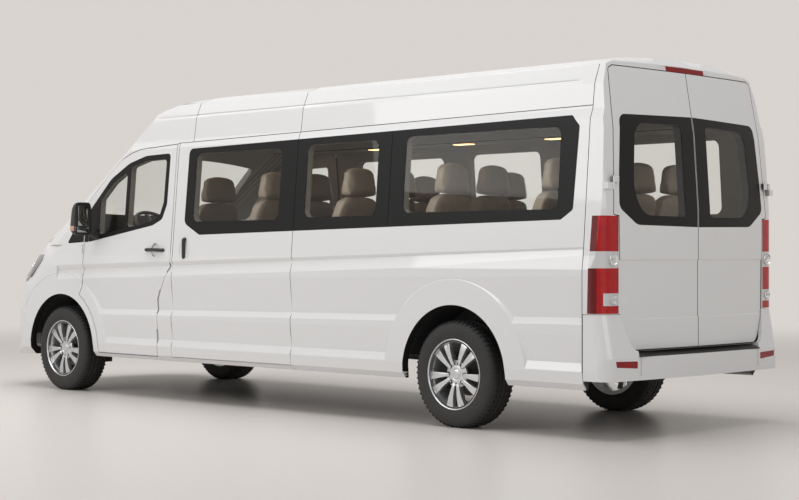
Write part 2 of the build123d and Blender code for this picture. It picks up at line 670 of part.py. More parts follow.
fog_trim = (body_solid(3) & fog_zone) - body_solid(20)
save(together(grille, lower_grille, fog_trim), "grille")
cowl_skin = (body_solid(30) - inner) & block(COWL_STRIP, (-BONNET_Y, BONNET_Y), (1000, 3000))
cowl_skin -= roof + wings
cowl_skin -= lamp_fronts
cowl_skin += Part() + screen_base
cowl_skin -= both(ring_y(9, 0, knuckle_mid, knuckle_end + 3, *BONNET_AXIS))
cowl_skin += both(ring_y(7, 0, knuckle_start, knuckle_mid, *BONNET_AXIS))
save(cowl_skin, "cowl_strip")

# Glass
screen_glass = ((screen_prism & skin_glass) - skin_seam) - front_zone
save(screen_glass, "windscreen")
band = ((band_prism & skin_frame) - skin_seam) - panes
for seam_x in BAND_SEAMS:
    band -= block((seam_x - 2, seam_x + 2), (0, 1500), (0, 3000))
quarter = (quarter_prism & skin_frame) - skin_seam
save(both(together(band, quarter)), "window_frames")
side_glass = (panes & skin_glass) - skin_seam
save(both(side_glass), "side_glass")
door = shell & door_prism
slack = door_prism - Pos(DOOR_EDGE_BEVEL, 0, 0) * door_prism
door -= slack & skin_seam
door_frame = ((door_glass_prism & skin_frame) - skin_seam) - door_panes
door_glass = (door_panes & skin_glass) - skin_seam
HANDLE = (3245, 1195)
SLIDE_HANDLE = (2868, 1205)
door -= ring_y(54, 0, 600, 1200, *HANDLE) - body_solid(13)
HANDLE_Y = (988, 1001)
grip_z = (HANDLE[1] - 12, HANDLE[1] + 12)
handle = block((3130, 3355), HANDLE_Y, grip_z)
for foot_x in ((3130, 3155), (3330, 3355)):
    handle += block(foot_x, (940, HANDLE_Y[1]), grip_z) - outer
for low in DOOR_HINGE_Z:
    door += block((4219, 4224), (955, DOOR_AXIS[1] + 2), (low + 40 + SEAT_GAP, low + 80))
    door += rod(DOOR_PIN_RADIUS, (*DOOR_AXIS, low + 40 + SEAT_GAP), (*DOOR_AXIS, low + 80))
mirror_shell = fillet(block((3985, 4088), (1062, 1238), (1315, 1588)).edges(), 26)
mirror_shell -= block((3900, 3991), (1080, 1222), (1336, 1568))
mirror_arm = block((4012, 4070), (900, 1075), (1330, 1372)) - skin_frame
mirror_housing = mirror_shell + mirror_arm
mirror_face = block((3986.5, 3990.7), (1082, 1220), (1338, 1566))
for hand, name in ((1, "left"), (-1, "right")):
    place = (lambda shape: shape) if hand == 1 else other_side
    save(place(door), f"front_door_{name}")
    save(place(together(door_frame, handle, mirror_housing)), f"door_trim_{name}")
    save(place(door_glass), f"door_glass_{name}")
    save(place(mirror_face), f"mirror_face_{name}")
grip_x = (SLIDE_HANDLE[0] - 15, SLIDE_HANDLE[0] + 15)
slide_handle = block(grip_x, (985, 997), (1130, 1282))
for foot_z in ((1130, 1152), (1260, 1282)):
    slide_handle += block(grip_x, (940, 997), foot_z) - outer
save(both(slide_handle), "slide_handles")

# Floor, wheel housings and cab
floor = block((TAIL_X + 95, 4690), (-(SIDE_Y - WALL - SEAT_GAP), SIDE_Y - WALL - SEAT_GAP), (FLOOR_Z - FLOOR_THICKNESS, FLOOR_Z))
HOUSING_RADIUS = 480
HOUSING_WALL = 10
housings = []
for axle_x, inner_y in ((0, 600), (WHEELBASE, 510)):
    arch = ring_y(HOUSING_RADIUS, HOUSING_RADIUS - HOUSING_WALL, inner_y, SIDE_Y - WALL - SEAT_GAP, x=axle_x)
    arch += ring_y(HOUSING_RADIUS, 0, inner_y, inner_y + HOUSING_WALL, x=axle_x)
    arch &= block((-2000, 6000), (0, 1500), (FLOOR_Z - FLOOR_THICKNESS - 130, 3000))
    housings += [arch, other_side(arch)]
    well = ring_y(HOUSING_RADIUS + SEAT_GAP, 0, inner_y - SEAT_GAP, 1500, x=axle_x)
    floor -= well + other_side(well)
save(floor, "floor")
save(together(*housings), "wheel_housings")

cab_inner = cabin(WALL + SEAT_GAP)
dash_points = [
    (4400, 860), (4640, 860), (4700, 1200), (4985, 1215), (4960, 1275), (4520, 1345), (4330, 1300),
    (4290, 1180),
]
dash = side_prism(closed(dash_points, [40, 20, 20, 5, 10, 60, 50, 60]).edges(), -920, 920) & cab_inner
COLUMN_ANGLE = 40
WHEEL_CENTRE = Vector(3985, 400, 1400)
column_dir = Vector(-math.sin(math.radians(COLUMN_ANGLE)), 0, math.cos(math.radians(COLUMN_ANGLE)))
column = rod(32, WHEEL_CENTRE - column_dir * (37 + SEAT_GAP), WHEEL_CENTRE - column_dir * 660)
dash += column
bulkhead = block((4700, 4725), (-931, 931), (FLOOR_Z - 40, 1180)) & cab_inner
for axle_x, inner_y in ((WHEELBASE, 510),):
    well = ring_y(HOUSING_RADIUS + SEAT_GAP, 0, inner_y - SEAT_GAP, 1500, x=axle_x)
    bulkhead -= well + other_side(well)
save(dash, "dashboard")
save(bulkhead, "bulkhead")
wheel_plane = Plane(origin=WHEEL_CENTRE, z_dir=column_dir, x_dir=(0, 1, 0))
steering = wheel_plane * Torus(185, 15)
steering += wheel_plane * Pos(0, 0, -12) * Cylinder(52, 50)
for turn in (0, 180, 270):
    steering += wheel_plane * Rot(0, 0, turn) * Pos(110, 0, -6) * Box(150, 30, 14)
save(steering, "steering_wheel")


# Seats: head rest position (x, y), and which side the leg is on
def seat(head_x, seat_y, half_width):
    """Back and head rest as one piece, and a cushion in front of it."""
    back_x = head_x + 90
    back = [(back_x - 15, 1080 + SEAT_GAP), (back_x + 100, 1080 + SEAT_GAP), (head_x + 62, 1560), (head_x - 45, 1578)]
    upper = side_prism(closed(back, [30, 30, 25, 25]).edges(), seat_y - half_width, seat_y + half_width)
    head = [(head_x - 48, 1600), (head_x + 55, 1594), (head_x + 45, 1752), (head_x - 30, 1762)]
    upper += side_prism(closed(head, [20, 20, 40, 40]).edges(), seat_y - 130, seat_y + 130)
    for offset_y in (-60, 60):
        upper += rod(7, (head_x, seat_y + offset_y, 1540), (head_x, seat_y + offset_y, 1620))
    cushion = [(back_x - 20, 960), (back_x + 490, 960), (back_x + 500, 1085), (back_x + 101, 1080), (back_x - 20, 1080)]
    lower = side_prism(closed(cushion, [20, 30, 45, 0, 0]).edges(), seat_y - half_width, seat_y + half_width)
    return together(upper, lower)


SEAT_HALF = 213
CABIN_SEATS = [
    (2150, 655), (2150, 225), (1230, 655), (1230, 225), (300, 655), (300, 225), (1800, -650),
    (880, -650), (-650, 650), (-650, 218), (-650, -218), (-650, -650),
]
CAB_SEATS = [(3140, 400), (3140, -420)]
save(together(*[seat(x, y, SEAT_HALF) for x, y in CABIN_SEATS]), "cabin_seats")
save(together(*[seat(x, y, 240) for x, y in CAB_SEATS]), "cab_seats")
legs = []
for x, y in CABIN_SEATS + CAB_SEATS:
    hand = 1 if y > 0 else -1
    legs.append(block((x + 170, x + 500), sorted((y - hand * 215, y - hand * 110)), (FLOOR_Z, 960)))
save(together(*legs), "seat_legs")

# Chassis
RAIL_Y = (430, 500)
RAIL_Z = (470, 560)
chassis = Part()
for hand in (1, -1):
    chassis += block((TAIL_X + 60, 5260), sorted((hand * RAIL_Y[0], hand * RAIL_Y[1])), RAIL_Z)
for member_x in (-1150, -560, 560, 1330, 2100, 2870, 3640):
    chassis += block((member_x - 35, member_x + 35), (-SIDE_Y + 68, SIDE_Y - 68), (500, FLOOR_Z - FLOOR_THICKNESS - SEAT_GAP))
chassis += block((5200, 5260), (-RAIL_Y[1], RAIL_Y[1]), RAIL_Z)
save(chassis, "chassis")

leaf_half = 34
springs = []
for hand in (1, -1):
    span = sorted((hand * (465 - leaf_half), hand * (465 + leaf_half)))
    top = ThreePointArc((-650, 430), (0, 299.7), (650, 430))
    under_arc = ThreePointArc((-650, 402), (0, 272), (650, 402))
    ends = [Line(top @ 0, under_arc @ 0), Line(top @ 1, under_arc @ 1)]
    spring = side_prism([top.edge(), under_arc.edge(), ends[0].edge(), ends[1].edge()], *span)
    for end_x in (-640, 640):
        spring += block((end_x - 22, end_x + 22), span, (405, RAIL_Z[0] - SEAT_GAP))
    springs.append(spring)
save(together(*springs), "leaf_springs")

HUB_FACE = 40
axle = rod(52, (0, -760, TYRE_RADIUS), (0, 760, TYRE_RADIUS))
axle += Pos(0, 0, TYRE_RADIUS) * Sphere(135)
for hand in (1, -1):
    axle += rod(34, (0, hand * 700, TYRE_RADIUS), (0, hand * (WHEEL_Y + HUB_FACE - SEAT_GAP), TYRE_RADIUS))
    axle += rod(150, (0, hand * 800, TYRE_RADIUS), (0, hand * 826, TYRE_RADIUS))
    saddle = sorted((hand * 436, hand * 494))
    axle += block((-55, 55), saddle, (290, TYRE_RADIUS))
axle -= together(*springs)

cross = block((4455, 4615), (-520, 520), (315, 400))
for hand in (1, -1):
    cross += block((4480, 4590), sorted((hand * 435, hand * 495)), (390, RAIL_Z[0] - SEAT_GAP))
    cross += block((4505, 4565), sorted((hand * 480, hand * 540)), (222, 330))
    cross += block((4505, 4565), sorted((hand * 500, hand * 770)), (222, 246))
    cross += block((4520, 4550), sorted((hand * 760, hand * 800)), (222, 246))
    cross += rod(18, (WHEELBASE, hand * KINGPIN_Y, 222), (WHEELBASE, hand * KINGPIN_Y, 252 - SEAT_GAP))
save(cross, "front_axle")
knuckle = block((WHEELBASE - 42, WHEELBASE + 42), (772, 818), (252, 462))
knuckle += rod(34, (WHEELBASE, 810, TYRE_RADIUS), (WHEELBASE, WHEEL_Y + HUB_FACE - SEAT_GAP, TYRE_RADIUS))
knuckle += rod(150, (WHEELBASE, 826, TYRE_RADIUS), (WHEELBASE, 852, TYRE_RADIUS))
save(knuckle, "knuckle_left")
save(other_side(knuckle), "knuckle_right")

engine = block((4790, 5190), (-290, 290), (410, 1060))
for hand in (1, -1):
    engine += block((4900, 4990), sorted((hand * 280, hand * 490)), (RAIL_Z[1] + SEAT_GAP, 640))
engine += block((4300, 4680), (-150, 150), (410, 590 - SEAT_GAP)) + rod(75, (4660, 0, 520), (4800, 0, 520))
save(engine, "engine")
shaft = rod(38, (4297, 0, 447), (2400, 0, 428)) + rod(38, (2400, 0, 428), (100, 0, TYRE_RADIUS + 5))
save(axle + shaft, "rear_axle")
tank = fillet(block((2920, 3600), (520, 890), (350, 560)).edges(), 30)
tank += block((3200, 3260), (520, 890), (540, FLOOR_Z - FLOOR_THICKNESS - SEAT_GAP))
save(tank, "fuel_tank")

# Wheels, drawn about the origin with the outside towards +y
BARREL = (206, 218.7)
rim_half = 112
tyre_inner = BARREL[1] + SEAT_GAP
half = TYRE_WIDTH / 2
bead = Polyline((tyre_inner, rim_half - 8.5), (238.5, rim_half - 8.5), (238.5, rim_half + 1))
side_arc = ThreePointArc((238.5, rim_half + 1), (292, half), (333, half - 9))
shoulder = ThreePointArc((333, half - 9), (350, half - 22), (TYRE_RADIUS, half - 45))
upper = [*bead.edges(), side_arc.edge(), shoulder.edge()]
lower = [mirror(edge, about=Plane.XZ) for edge in upper]
closing = [
    Line((TYRE_RADIUS, half - 45), (TYRE_RADIUS, 45 - half)).edge(),
    Line((tyre_inner, rim_half - 8.5), (tyre_inner, 8.5 - rim_half)).edge(),
]
tyre_face = make_face(upper + lower + closing)
tyre = revolve(tyre_face, Axis.Y)
barrel_points = [
    (BARREL[0], -rim_half), (238, -rim_half), (238, 8 - rim_half), (BARREL[1], 8 - rim_half),
    (BARREL[1], rim_half - 8), (238, rim_half - 8), (238, rim_half), (BARREL[0], rim_half),
]
rim = revolve(make_face(closed(barrel_points).edges()), Axis.Y)
disc_profile = [(0, 62), (70, 62), (BARREL[0] + 4, 72), (BARREL[0] + 4, 97), (150, 99), (70, 88), (0, 88)]
disc = revolve(make_face(closed(disc_profile).edges()), Axis.Y)
disc += ring_y(72, 0, HUB_FACE, 64, z=0) + ring_y(34, 0, 80, 102, z=0)


def polar(radius, degrees):
    return (radius * math.cos(math.radians(degrees)), radius * math.sin(math.radians(degrees)))


window = [polar(100, -9), polar(198, -20.5), polar(198, 20.5), polar(100, 9)]
slot = [polar(124, -2.9), polar(194, -6.5), polar(194, 6.5), polar(124, 2.9)]
for spoke in range(5):
    for outline, radius, start in ((window, 7, 36), (slot, 5, 0)):
        cutter = side_prism(closed(outline, radius).edges(), -200, 200)
        disc -= Rot(0, spoke * 72 + start + 90, 0) * cutter
rim += disc
for axle, axle_x in (("rear", 0), ("front", WHEELBASE)):
    for hand, side_name in ((1, "left"), (-1, "right")):
        for piece, name in ((tyre, "tyre"), (rim, "rim")):
            here = Pos(axle_x, WHEEL_Y, TYRE_RADIUS) * piece
            save(here if hand == 1 else other_side(here), f"{axle}_{side_name}_{name}")
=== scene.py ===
import math

import bpy
from mathutils import Matrix, Vector


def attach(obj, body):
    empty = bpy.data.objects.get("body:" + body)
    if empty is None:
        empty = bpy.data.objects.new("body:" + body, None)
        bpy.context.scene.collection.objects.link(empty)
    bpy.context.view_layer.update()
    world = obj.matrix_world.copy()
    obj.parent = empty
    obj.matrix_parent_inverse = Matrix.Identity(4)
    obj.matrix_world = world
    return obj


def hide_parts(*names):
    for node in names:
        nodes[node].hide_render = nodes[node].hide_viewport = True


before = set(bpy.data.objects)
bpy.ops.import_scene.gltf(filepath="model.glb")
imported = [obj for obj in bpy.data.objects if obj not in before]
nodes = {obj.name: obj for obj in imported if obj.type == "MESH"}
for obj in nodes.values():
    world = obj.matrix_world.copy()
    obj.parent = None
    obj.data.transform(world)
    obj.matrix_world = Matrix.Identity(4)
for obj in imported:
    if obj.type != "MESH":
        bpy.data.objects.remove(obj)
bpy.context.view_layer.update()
print("frame loaded")

rearAxle = 2.1075  # the origin lies this far ahead of the rear axle
axleX = {"rear": -rearAxle, "front": 4.535 - rearAxle}
sides = {"left": 1, "right": -1}
wheelSpot = {"y": 0.864, "z": 0.357}  # middle of each wheel

cameraSettings = {"lens": 76.01, "place": (-9.728, 9.283, 1.161), "yaw": 45.643, "pitch": 0.139}
stageSettings = {"backdrop": (0.69, 0.655, 0.62), "floor": (0.66, 0.625, 0.595), "near": 6.0, "far": 16.0,
                 "fill": (1, 0.99, 0.975), "fillStrength": 0.34}


def linkObject(obj):
    bpy.context.scene.collection.objects.link(obj)


def setStage():
    yaw = math.radians(cameraSettings["yaw"])
    pitch = math.radians(cameraSettings["pitch"])
    ahead = Vector((math.cos(yaw) * math.cos(pitch), -math.sin(yaw) * math.cos(pitch), math.sin(pitch)))
    lens = bpy.data.cameras.new("photoCamera")
    lens.lens = cameraSettings["lens"]
    lens.sensor_width = 36
    lens.sensor_fit = "HORIZONTAL"
    lens.clip_end = 400
    camera = bpy.data.objects.new("photoCamera", lens)
    camera.location = cameraSettings["place"]
    camera.rotation_euler = ahead.to_track_quat("-Z", "Y").to_euler()
    linkObject(camera)
    bpy.context.scene.camera = camera
    bpy.context.scene.view_settings.view_transform = "Standard"


def addSoftbox(name, spot, target, size, power):
    light = bpy.data.lights.new(name, "AREA")
    light.shape = "RECTANGLE"
    light.size, light.size_y = size
    light.energy = power
    lamp = bpy.data.objects.new(name, light)
    lamp.location = spot
    lamp.rotation_euler = (Vector(target) - Vector(spot)).to_track_quat("-Z", "Y").to_euler()
    linkObject(lamp)


def node(tree, kind, **values):
    item = tree.nodes.new(kind)
    for key, value in values.items():
        if hasattr(item, key):
            setattr(item, key, value)
        else:
            item.inputs[key.replace("_", " ")].default_value = value
    return item


def wire(tree, *links):
    for source, output, target, entry in links:
        tree.links.new(source.outputs[output], target.inputs[entry])


def setWorld():
    # camera, glossy and transmission rays see the backdrop, all others the fill
    world = bpy.data.worlds.new("studio")
    bpy.context.scene.world = world
    world.use_nodes = True
    tree = world.node_tree
    tree.nodes.clear()
    out = node(tree, "ShaderNodeOutputWorld")
    mix = node(tree, "ShaderNodeMixShader")
    seen = node(tree, "ShaderNodeBackground", Color=(*stageSettings["backdrop"], 1))
    fill = node(tree, "ShaderNodeBackground", Color=(*stageSettings["fill"], 1),
                Strength=stageSettings["fillStrength"])
    path = node(tree, "ShaderNodeLightPath")
    some = node(tree, "ShaderNodeMath", operation="MAXIMUM")
    more = node(tree, "ShaderNodeMath", operation="MAXIMUM")
    wire(tree, (path, "Is Camera Ray", some, 0), (path, "Is Glossy Ray", some, 1), (some, 0, more, 0),
         (path, "Is Transmission Ray", more, 1), (more, 0, mix, 0), (fill, 0, mix, 1), (seen, 0, mix, 2),
         (mix, 0, out, 0))


def newMaterial(name, **values):
    material = bpy.data.materials.new(name)
    material.use_nodes = True
    shader = material.node_tree.nodes["Principled BSDF"]
    for key, value in values.items():
        socket = shader.inputs[key.replace("_", " ")]
        if socket.type == "RGBA" and len(value) == 3:
            value = (*value, 1)
        socket.default_value = value
    return material, shader, material.node_tree


def makeGroup(name, inputs, outputs):
    group = bpy.data.node_groups.new(name, "ShaderNodeTree")
    for label, value in inputs.items():
        socket = group.interface.new_socket(label, in_out="INPUT", socket_type="NodeSocketFloat")
        socket.default_value = value
    for label in outputs:
        group.interface.new_socket(label, in_out="OUTPUT", socket_type="NodeSocketFloat")
    return group, group.nodes.new("NodeGroupInput"), group.nodes.new("NodeGroupOutput")


def makeGrain():
    group, into, out = makeGroup("fineGrain", {"Scale": 200, "Low": 0.3, "High": 0.5},
                                 ["Height", "Roughness"])
    coords = node(group, "ShaderNodeTexCoord")
    noise = node(group, "ShaderNodeTexNoise", Detail=3)
    spread = node(group, "ShaderNodeMapRange")
    wire(group, (coords, "Object", noise, "Vector"), (into, "Scale", noise, "Scale"),
         (noise, "Fac", spread, "Value"), (into, "Low", spread, "To Min"), (into, "High", spread, "To Max"),
         (noise, "Fac", out, "Height"), (spread, 0, out, "Roughness"))
    return group


def makeDust():
    group, into, out = makeGroup("roadDust", {"Top": 0.6, "Amount": 0.5}, ["Mask"])
    coords = node(group, "ShaderNodeTexCoord")
    split = node(group, "ShaderNodeSeparateXYZ")
    noise = node(group, "ShaderNodeTexNoise", Scale=9, Detail=5)
    height = node(group, "ShaderNodeMath", operation="DIVIDE")
    invert = node(group, "ShaderNodeMath", operation="SUBTRACT", use_clamp=True)
    invert.inputs[0].default_value = 1
    cloud = node(group, "ShaderNodeMath", operation="MULTIPLY")
    amount = node(group, "ShaderNodeMath", operation="MULTIPLY", use_clamp=True)
    wire(group, (coords, "Object", split, 0), (coords, "Object", noise, "Vector"), (split, "Z", height, 0),
         (into, "Top", height, 1), (height, 0, invert, 1), (invert, 0, cloud, 0), (noise, "Fac", cloud, 1),
         (cloud, 0, amount, 0), (into, "Amount", amount, 1), (amount, 0, out, "Mask"))
    return group


grainGroup = makeGrain()
dustGroup = makeDust()


def addRelief(tree, shader, source, output, strength, distance):
    relief = node(tree, "ShaderNodeBump", Strength=strength, Distance=distance)
    wire(tree, (source, output, relief, "Height"), (relief, 0, shader, "Normal"))


def addGrain(shader, tree, scale, low, high, bump, distance=0.001):
    grain = node(tree, "ShaderNodeGroup", node_tree=grainGroup, Scale=scale, Low=low, High=high)
    wire(tree, (grain, "Roughness", shader, "Roughness"))
    if bump:
        addRelief(tree, shader, grain, "Height", bump, distance)


def mixTones(tree, first, second):
    mix = node(tree, "ShaderNodeMix", data_type="RGBA")
    mix.inputs[6].default_value = (*first, 1)
    mix.inputs[7].default_value = (*second, 1)
    return mix


def addDust(shader, tree, clean, dusty, top, amount):
    dust = node(tree, "ShaderNodeGroup", node_tree=dustGroup, Top=top, Amount=amount)
    mix = mixTones(tree, clean, dusty)
    wire(tree, (dust, "Mask", mix, 0), (mix, 2, shader, "Base Color"))


def whitePaint():
    material, shader, tree = newMaterial("whitePaint", Coat_Weight=0.9, Coat_Roughness=0.03,
                                         Specular_IOR_Level=0.5)
    addGrain(shader, tree, 420, 0.3, 0.36, 0.02, 0.0004)
    addDust(shader, tree, (0.78, 0.785, 0.795), (0.62, 0.6, 0.57), 0.6, 0.16)
    return material


def plainFinish(name, colour, scale, low, high, bump, dusty=None, **values):
    material, shader, tree = newMaterial(name, Base_Color=colour, **values)
    addGrain(shader, tree, scale, low, high, bump)
    if dusty:
        addDust(shader, tree, colour, *dusty)
    return material


def windowGlass(name, tint):
    # lets most of the light through for shadow rays
    material, shader, tree = newMaterial(name, Base_Color=tint, Roughness=0.0, Transmission_Weight=1.0,
                                         IOR=1.22)
    path = node(tree, "ShaderNodeLightPath")
    fade = node(tree, "ShaderNodeMapRange", To_Min=1.0, To_Max=0.25)
    wire(tree, (path, "Is Shadow Ray", fade, "Value"), (fade, 0, shader, "Alpha"))
    return material


def addRibs(tree, shader, coords, scale):
    wave = node(tree, "ShaderNodeTexWave", bands_direction="Z", Scale=scale, Distortion=0.0)
    wire(tree, (coords, "Object", wave, "Vector"))
    addRelief(tree, shader, wave, "Fac", 0.35, 0.002)


def ribbedLens(name, colour, ribs, **values):
    material, shader, tree = newMaterial(name, Base_Color=colour, Roughness=0.06, Coat_Weight=1.0, **values)
    addRibs(tree, shader, node(tree, "ShaderNodeTexCoord"), ribs)
    return material


# rear lamp: colours from its outer end inwards, between two places along x
redBands = {"from": -3.3925, "to": -3.2465, "ribs": 60, "facets": 16,
            "stops": ((0.0, (0.3, 0.0004, 0.003)), (0.22, (0.5, 0.0006, 0.004)),
                      (0.58, (0.15, 0.0003, 0.002)))}


def lampRed():
    material, shader, tree = newMaterial("redLens", Roughness=0.22, Coat_Weight=0.25, Specular_IOR_Level=0.25)
    coords = node(tree, "ShaderNodeTexCoord")
    split = node(tree, "ShaderNodeSeparateXYZ")
    along = node(tree, "ShaderNodeMapRange", From_Min=redBands["from"], From_Max=redBands["to"])
    bands = node(tree, "ShaderNodeValToRGB")
    ramp = bands.color_ramp
    ramp.interpolation = "CONSTANT"
    for position, colour in redBands["stops"]:
        stop = ramp.elements[0] if position == 0 else ramp.elements.new(position)
        stop.color = (*colour, 1)
    ramp.elements[-1].color = (*redBands["stops"][-1][1], 1)
    facets = node(tree, "ShaderNodeTexVoronoi", Scale=redBands["facets"], feature="F1", distance="CHEBYCHEV")
    shade = node(tree, "ShaderNodeMapRange", To_Min=1.08, To_Max=0.72)
    tone = node(tree, "ShaderNodeVectorMath", operation="MULTIPLY")
    wire(tree, (coords, "Object", split, 0), (split, "X", along, "Value"), (along, 0, bands, 0),
         (coords, "Object", facets, "Vector"), (facets, "Distance", shade, "Value"),
         (bands, "Color", tone, 0), (shade, 0, tone, 1), (tone, 0, shader, "Base Color"))
    addRibs(tree, shader, coords, redBands["ribs"])
    return material


def leatherFinish():
    material, shader, tree = newMaterial("brownLeather", Specular_IOR_Level=0.4)
    coords = node(tree, "ShaderNodeTexCoord")
    cells = node(tree, "ShaderNodeTexVoronoi", Scale=260)
    cloud = node(tree, "ShaderNodeTexNoise", Scale=6, Detail=4)
    tone = mixTones(tree, (0.27, 0.215, 0.165), (0.35, 0.285, 0.225))
    rough = node(tree, "ShaderNodeMapRange", To_Min=0.42, To_Max=0.58)
    wire(tree, (coords, "Object", cells, "Vector"), (coords, "Object", cloud, "Vector"),
         (cloud, "Fac", tone, 0), (tone, 2, shader, "Base Color"))
    addRelief(tree, shader, cells, "Distance", 0.25, 0.001)
    wire(tree, (cloud, "Fac", rough, "Value"), (rough, 0, shader, "Roughness"))
    return material


def glowing(name, colour, strength):
    material, shader, tree = newMaterial(name, Base_Color=colour, Emission_Color=colour,
                                         Emission_Strength=strength)
    addGrain(shader, tree, 90, 0.3, 0.45, 0.0)
    return material


finishes = {
    "paint": whitePaint(),
    "headliner": plainFinish("greyHeadliner", (0.36, 0.33, 0.29), 900, 0.85, 0.95, 0.25),
    "pillarTrim": plainFinish("pillarTrim", (0.21, 0.19, 0.165), 1400, 0.6, 0.75, 0.15),
    # near black: painted shade for the insides of the gaps and grooves between panels and the edges of the
    # doors
    "seamShade": plainFinish("seamShade", (0.035, 0.035, 0.037), 300, 0.6, 0.8, 0.05),
    "chrome": plainFinish("brightTrim", (0.78, 0.79, 0.8), 300, 0.08, 0.14, 0.0, Metallic=1.0),
    "daylight": glowing("daylightStrip", (0.92, 0.94, 1.0), 0.6),
    "screen": plainFinish("displayScreen", (0.012, 0.013, 0.016), 200, 0.08, 0.14, 0.0, Coat_Weight=0.6),
    "blackGloss": plainFinish("blackGloss", (0.011, 0.011, 0.0115), 300, 0.34, 0.42, 0.01,
                              Specular_IOR_Level=0.16),
    "archBlack": plainFinish("archBlack", (0.01, 0.01, 0.01), 300, 0.7, 0.85, 0.1,
                             Specular_IOR_Level=0.2),
    "blackTrim": plainFinish("blackTrim", (0.022, 0.022, 0.023), 1200, 0.42, 0.55, 0.15,
                             dusty=((0.11, 0.1, 0.09), 0.6, 0.5)),
    "darkPlastic": plainFinish("darkPlastic", (0.045, 0.043, 0.041), 1500, 0.5, 0.62, 0.2),
    "chassis": plainFinish("chassisBlack", (0.03, 0.03, 0.031), 160, 0.45, 0.65, 0.15,
                           dusty=((0.14, 0.12, 0.1), 0.8, 0.6)),
    "rubber": plainFinish("sealRubber", (0.014, 0.014, 0.014), 700, 0.6, 0.75, 0.1),
    "tyre": plainFinish("tyreRubber", (0.024, 0.024, 0.0245), 500, 0.62, 0.8, 0.15,
                        dusty=((0.1, 0.09, 0.08), 0.5, 0.25)),
    "alloy": plainFinish("silverAlloy", (0.62, 0.63, 0.645), 350, 0.26, 0.34, 0.03,
                         Metallic=0.85, Coat_Weight=0.4),
    "steel": plainFinish("brightSteel", (0.7, 0.7, 0.71), 300, 0.2, 0.3, 0.02, Metallic=1.0),
    "castIron": plainFinish("castIron", (0.16, 0.15, 0.145), 300, 0.45, 0.6, 0.1, Metallic=0.7),
    "reflector": plainFinish("lampReflector", (0.86, 0.87, 0.88), 200, 0.05, 0.1, 0.0, Metallic=1.0),
    "mirror": plainFinish("mirrorFace", (0.34, 0.36, 0.35), 100, 0.02, 0.05, 0.0, Metallic=1.0),
    "glass": windowGlass("windowGlass", (0.93, 0.945, 0.93)),
    "redLens": lampRed(),
    "brakeLens": plainFinish("brakeLens", (0.24, 0.001, 0.003), 300, 0.22, 0.3, 0.02,
                             Specular_IOR_Level=0.25),
    "headLens": plainFinish("headLens", (0.11, 0.115, 0.12), 300, 0.05, 0.09, 0.0, Coat_Weight=1.0),
    "clearLens": ribbedLens("clearLens", (0.95, 0.96, 0.97), 60, Transmission_Weight=0.35),
    "amberLens": ribbedLens("amberLens", (0.85, 0.45, 0.3), 80, Transmission_Weight=0.3),
    "leather": leatherFinish(),
    "vinyl": plainFinish("floorVinyl", (0.17, 0.155, 0.14), 400, 0.55, 0.7, 0.2),
    "warmLamp": glowing("ceilingLamp", (1.0, 0.6, 0.28), 2.6),
}
print("materials ready")



def both(name):
    return [f"{name}_{side}" for side in sides]


nodeFinish = {
    "paint": ["roof", *both("side"), *both("slide_door"), "corner_posts",
              *both("rear_door"), "rear_bumper", "front_bumper", "front_wings", "bonnet",
              *both("front_door")],
    "blackGloss": ["window_frames", *both("door_trim"), *both("rear_frame")],
    "glass": ["windscreen", "side_glass", *both("door_glass"), *both("rear_glass")],
    "blackTrim": ["rear_step", "grille", "cowl_strip", "slide_handles", "wheel_housings"],
    "darkPlastic": ["dashboard", "steering_wheel"],
    "headliner": ["bulkhead"],
    "vinyl": ["floor"],
    "chassis": ["chassis", "leaf_springs", "rear_axle", "front_axle", "fuel_tank", "seat_legs"],
    "castIron": ["engine", *both("knuckle")],
    "redLens": ["rear_lamps_red"],
    "clearLens": ["rear_lamps_clear"],
    "headLens": ["headlamps"],
    "mirror": [*both("mirror_face")],
    "leather": ["cabin_seats", "cab_seats"],
    "tyre": [f"{axle}_{side}_tyre" for axle in axleX for side in sides],
    "alloy": [f"{axle}_{side}_rim" for axle in axleX for side in sides],
}

# body section: height and half width, used to tell the outside of a panel from its lining
section = [(0.29, 0.935), (0.42, 0.992), (1.065, 0.992), (1.33, 0.965), (2.01, 0.908), (2.235, 0.862),
           (2.36, 0.812), (2.44, 0.7)]


def halfWidth(height):
    for (lowZ, lowY), (highZ, highY) in zip(section, section[1:]):
        if height <= highZ:
            return lowY + (highY - lowY) * max(0, (height - lowZ) / (highZ - lowZ))
    return section[-1][1]


archBand = {"inner": 0.43, "outer": 0.5, "foot": 0.28}


def inArch(centre, normal):
    # faces that look at a wheel from just outside its tyre
    for x in axleX.values():
        spoke = Vector((centre.x - x, 0, centre.z - wheelSpot["z"]))
        close = archBand["inner"] < spoke.length < archBand["outer"] and centre.z > archBand["foot"]
        if close and normal.dot(spoke) < -0.2 * spoke.length:
            return True
    return False


# grooves between panels, whose inner faces get painted shade: upright ones forward of the rear axle, the one
# below the roof, the sill's
seamLines = {"rear": -1.1, "slideRear": 1.61, "slideFront": 3.018, "half": 0.0027,
             "pillar": 2.86, "pillarFoot": 2.0, "cant": 2.096, "cantDrop": 0.051, "cantLength": 4.118,
             "cantEnd": 3.05, "cantHalf": 0.003, "sill": 0.345}


def inSeam(centre):
    line = seamLines
    fromAxle = centre.x + rearAxle
    cant = line["cant"] - line["cantDrop"] * (fromAxle + 1.1) / line["cantLength"]
    if any(abs(fromAxle - line[key]) < line["half"] for key in ("slideRear", "slideFront", "rear")):
        return True
    if abs(fromAxle - line["pillar"]) < line["half"] and centre.z > line["pillarFoot"]:
        return True
    if line["rear"] < fromAxle < line["cantEnd"] and abs(centre.z - cant) < line["cantHalf"]:
        return True
    return line["slideRear"] < fromAxle < line["slideFront"] and abs(centre.z - line["sill"]) < line["half"]


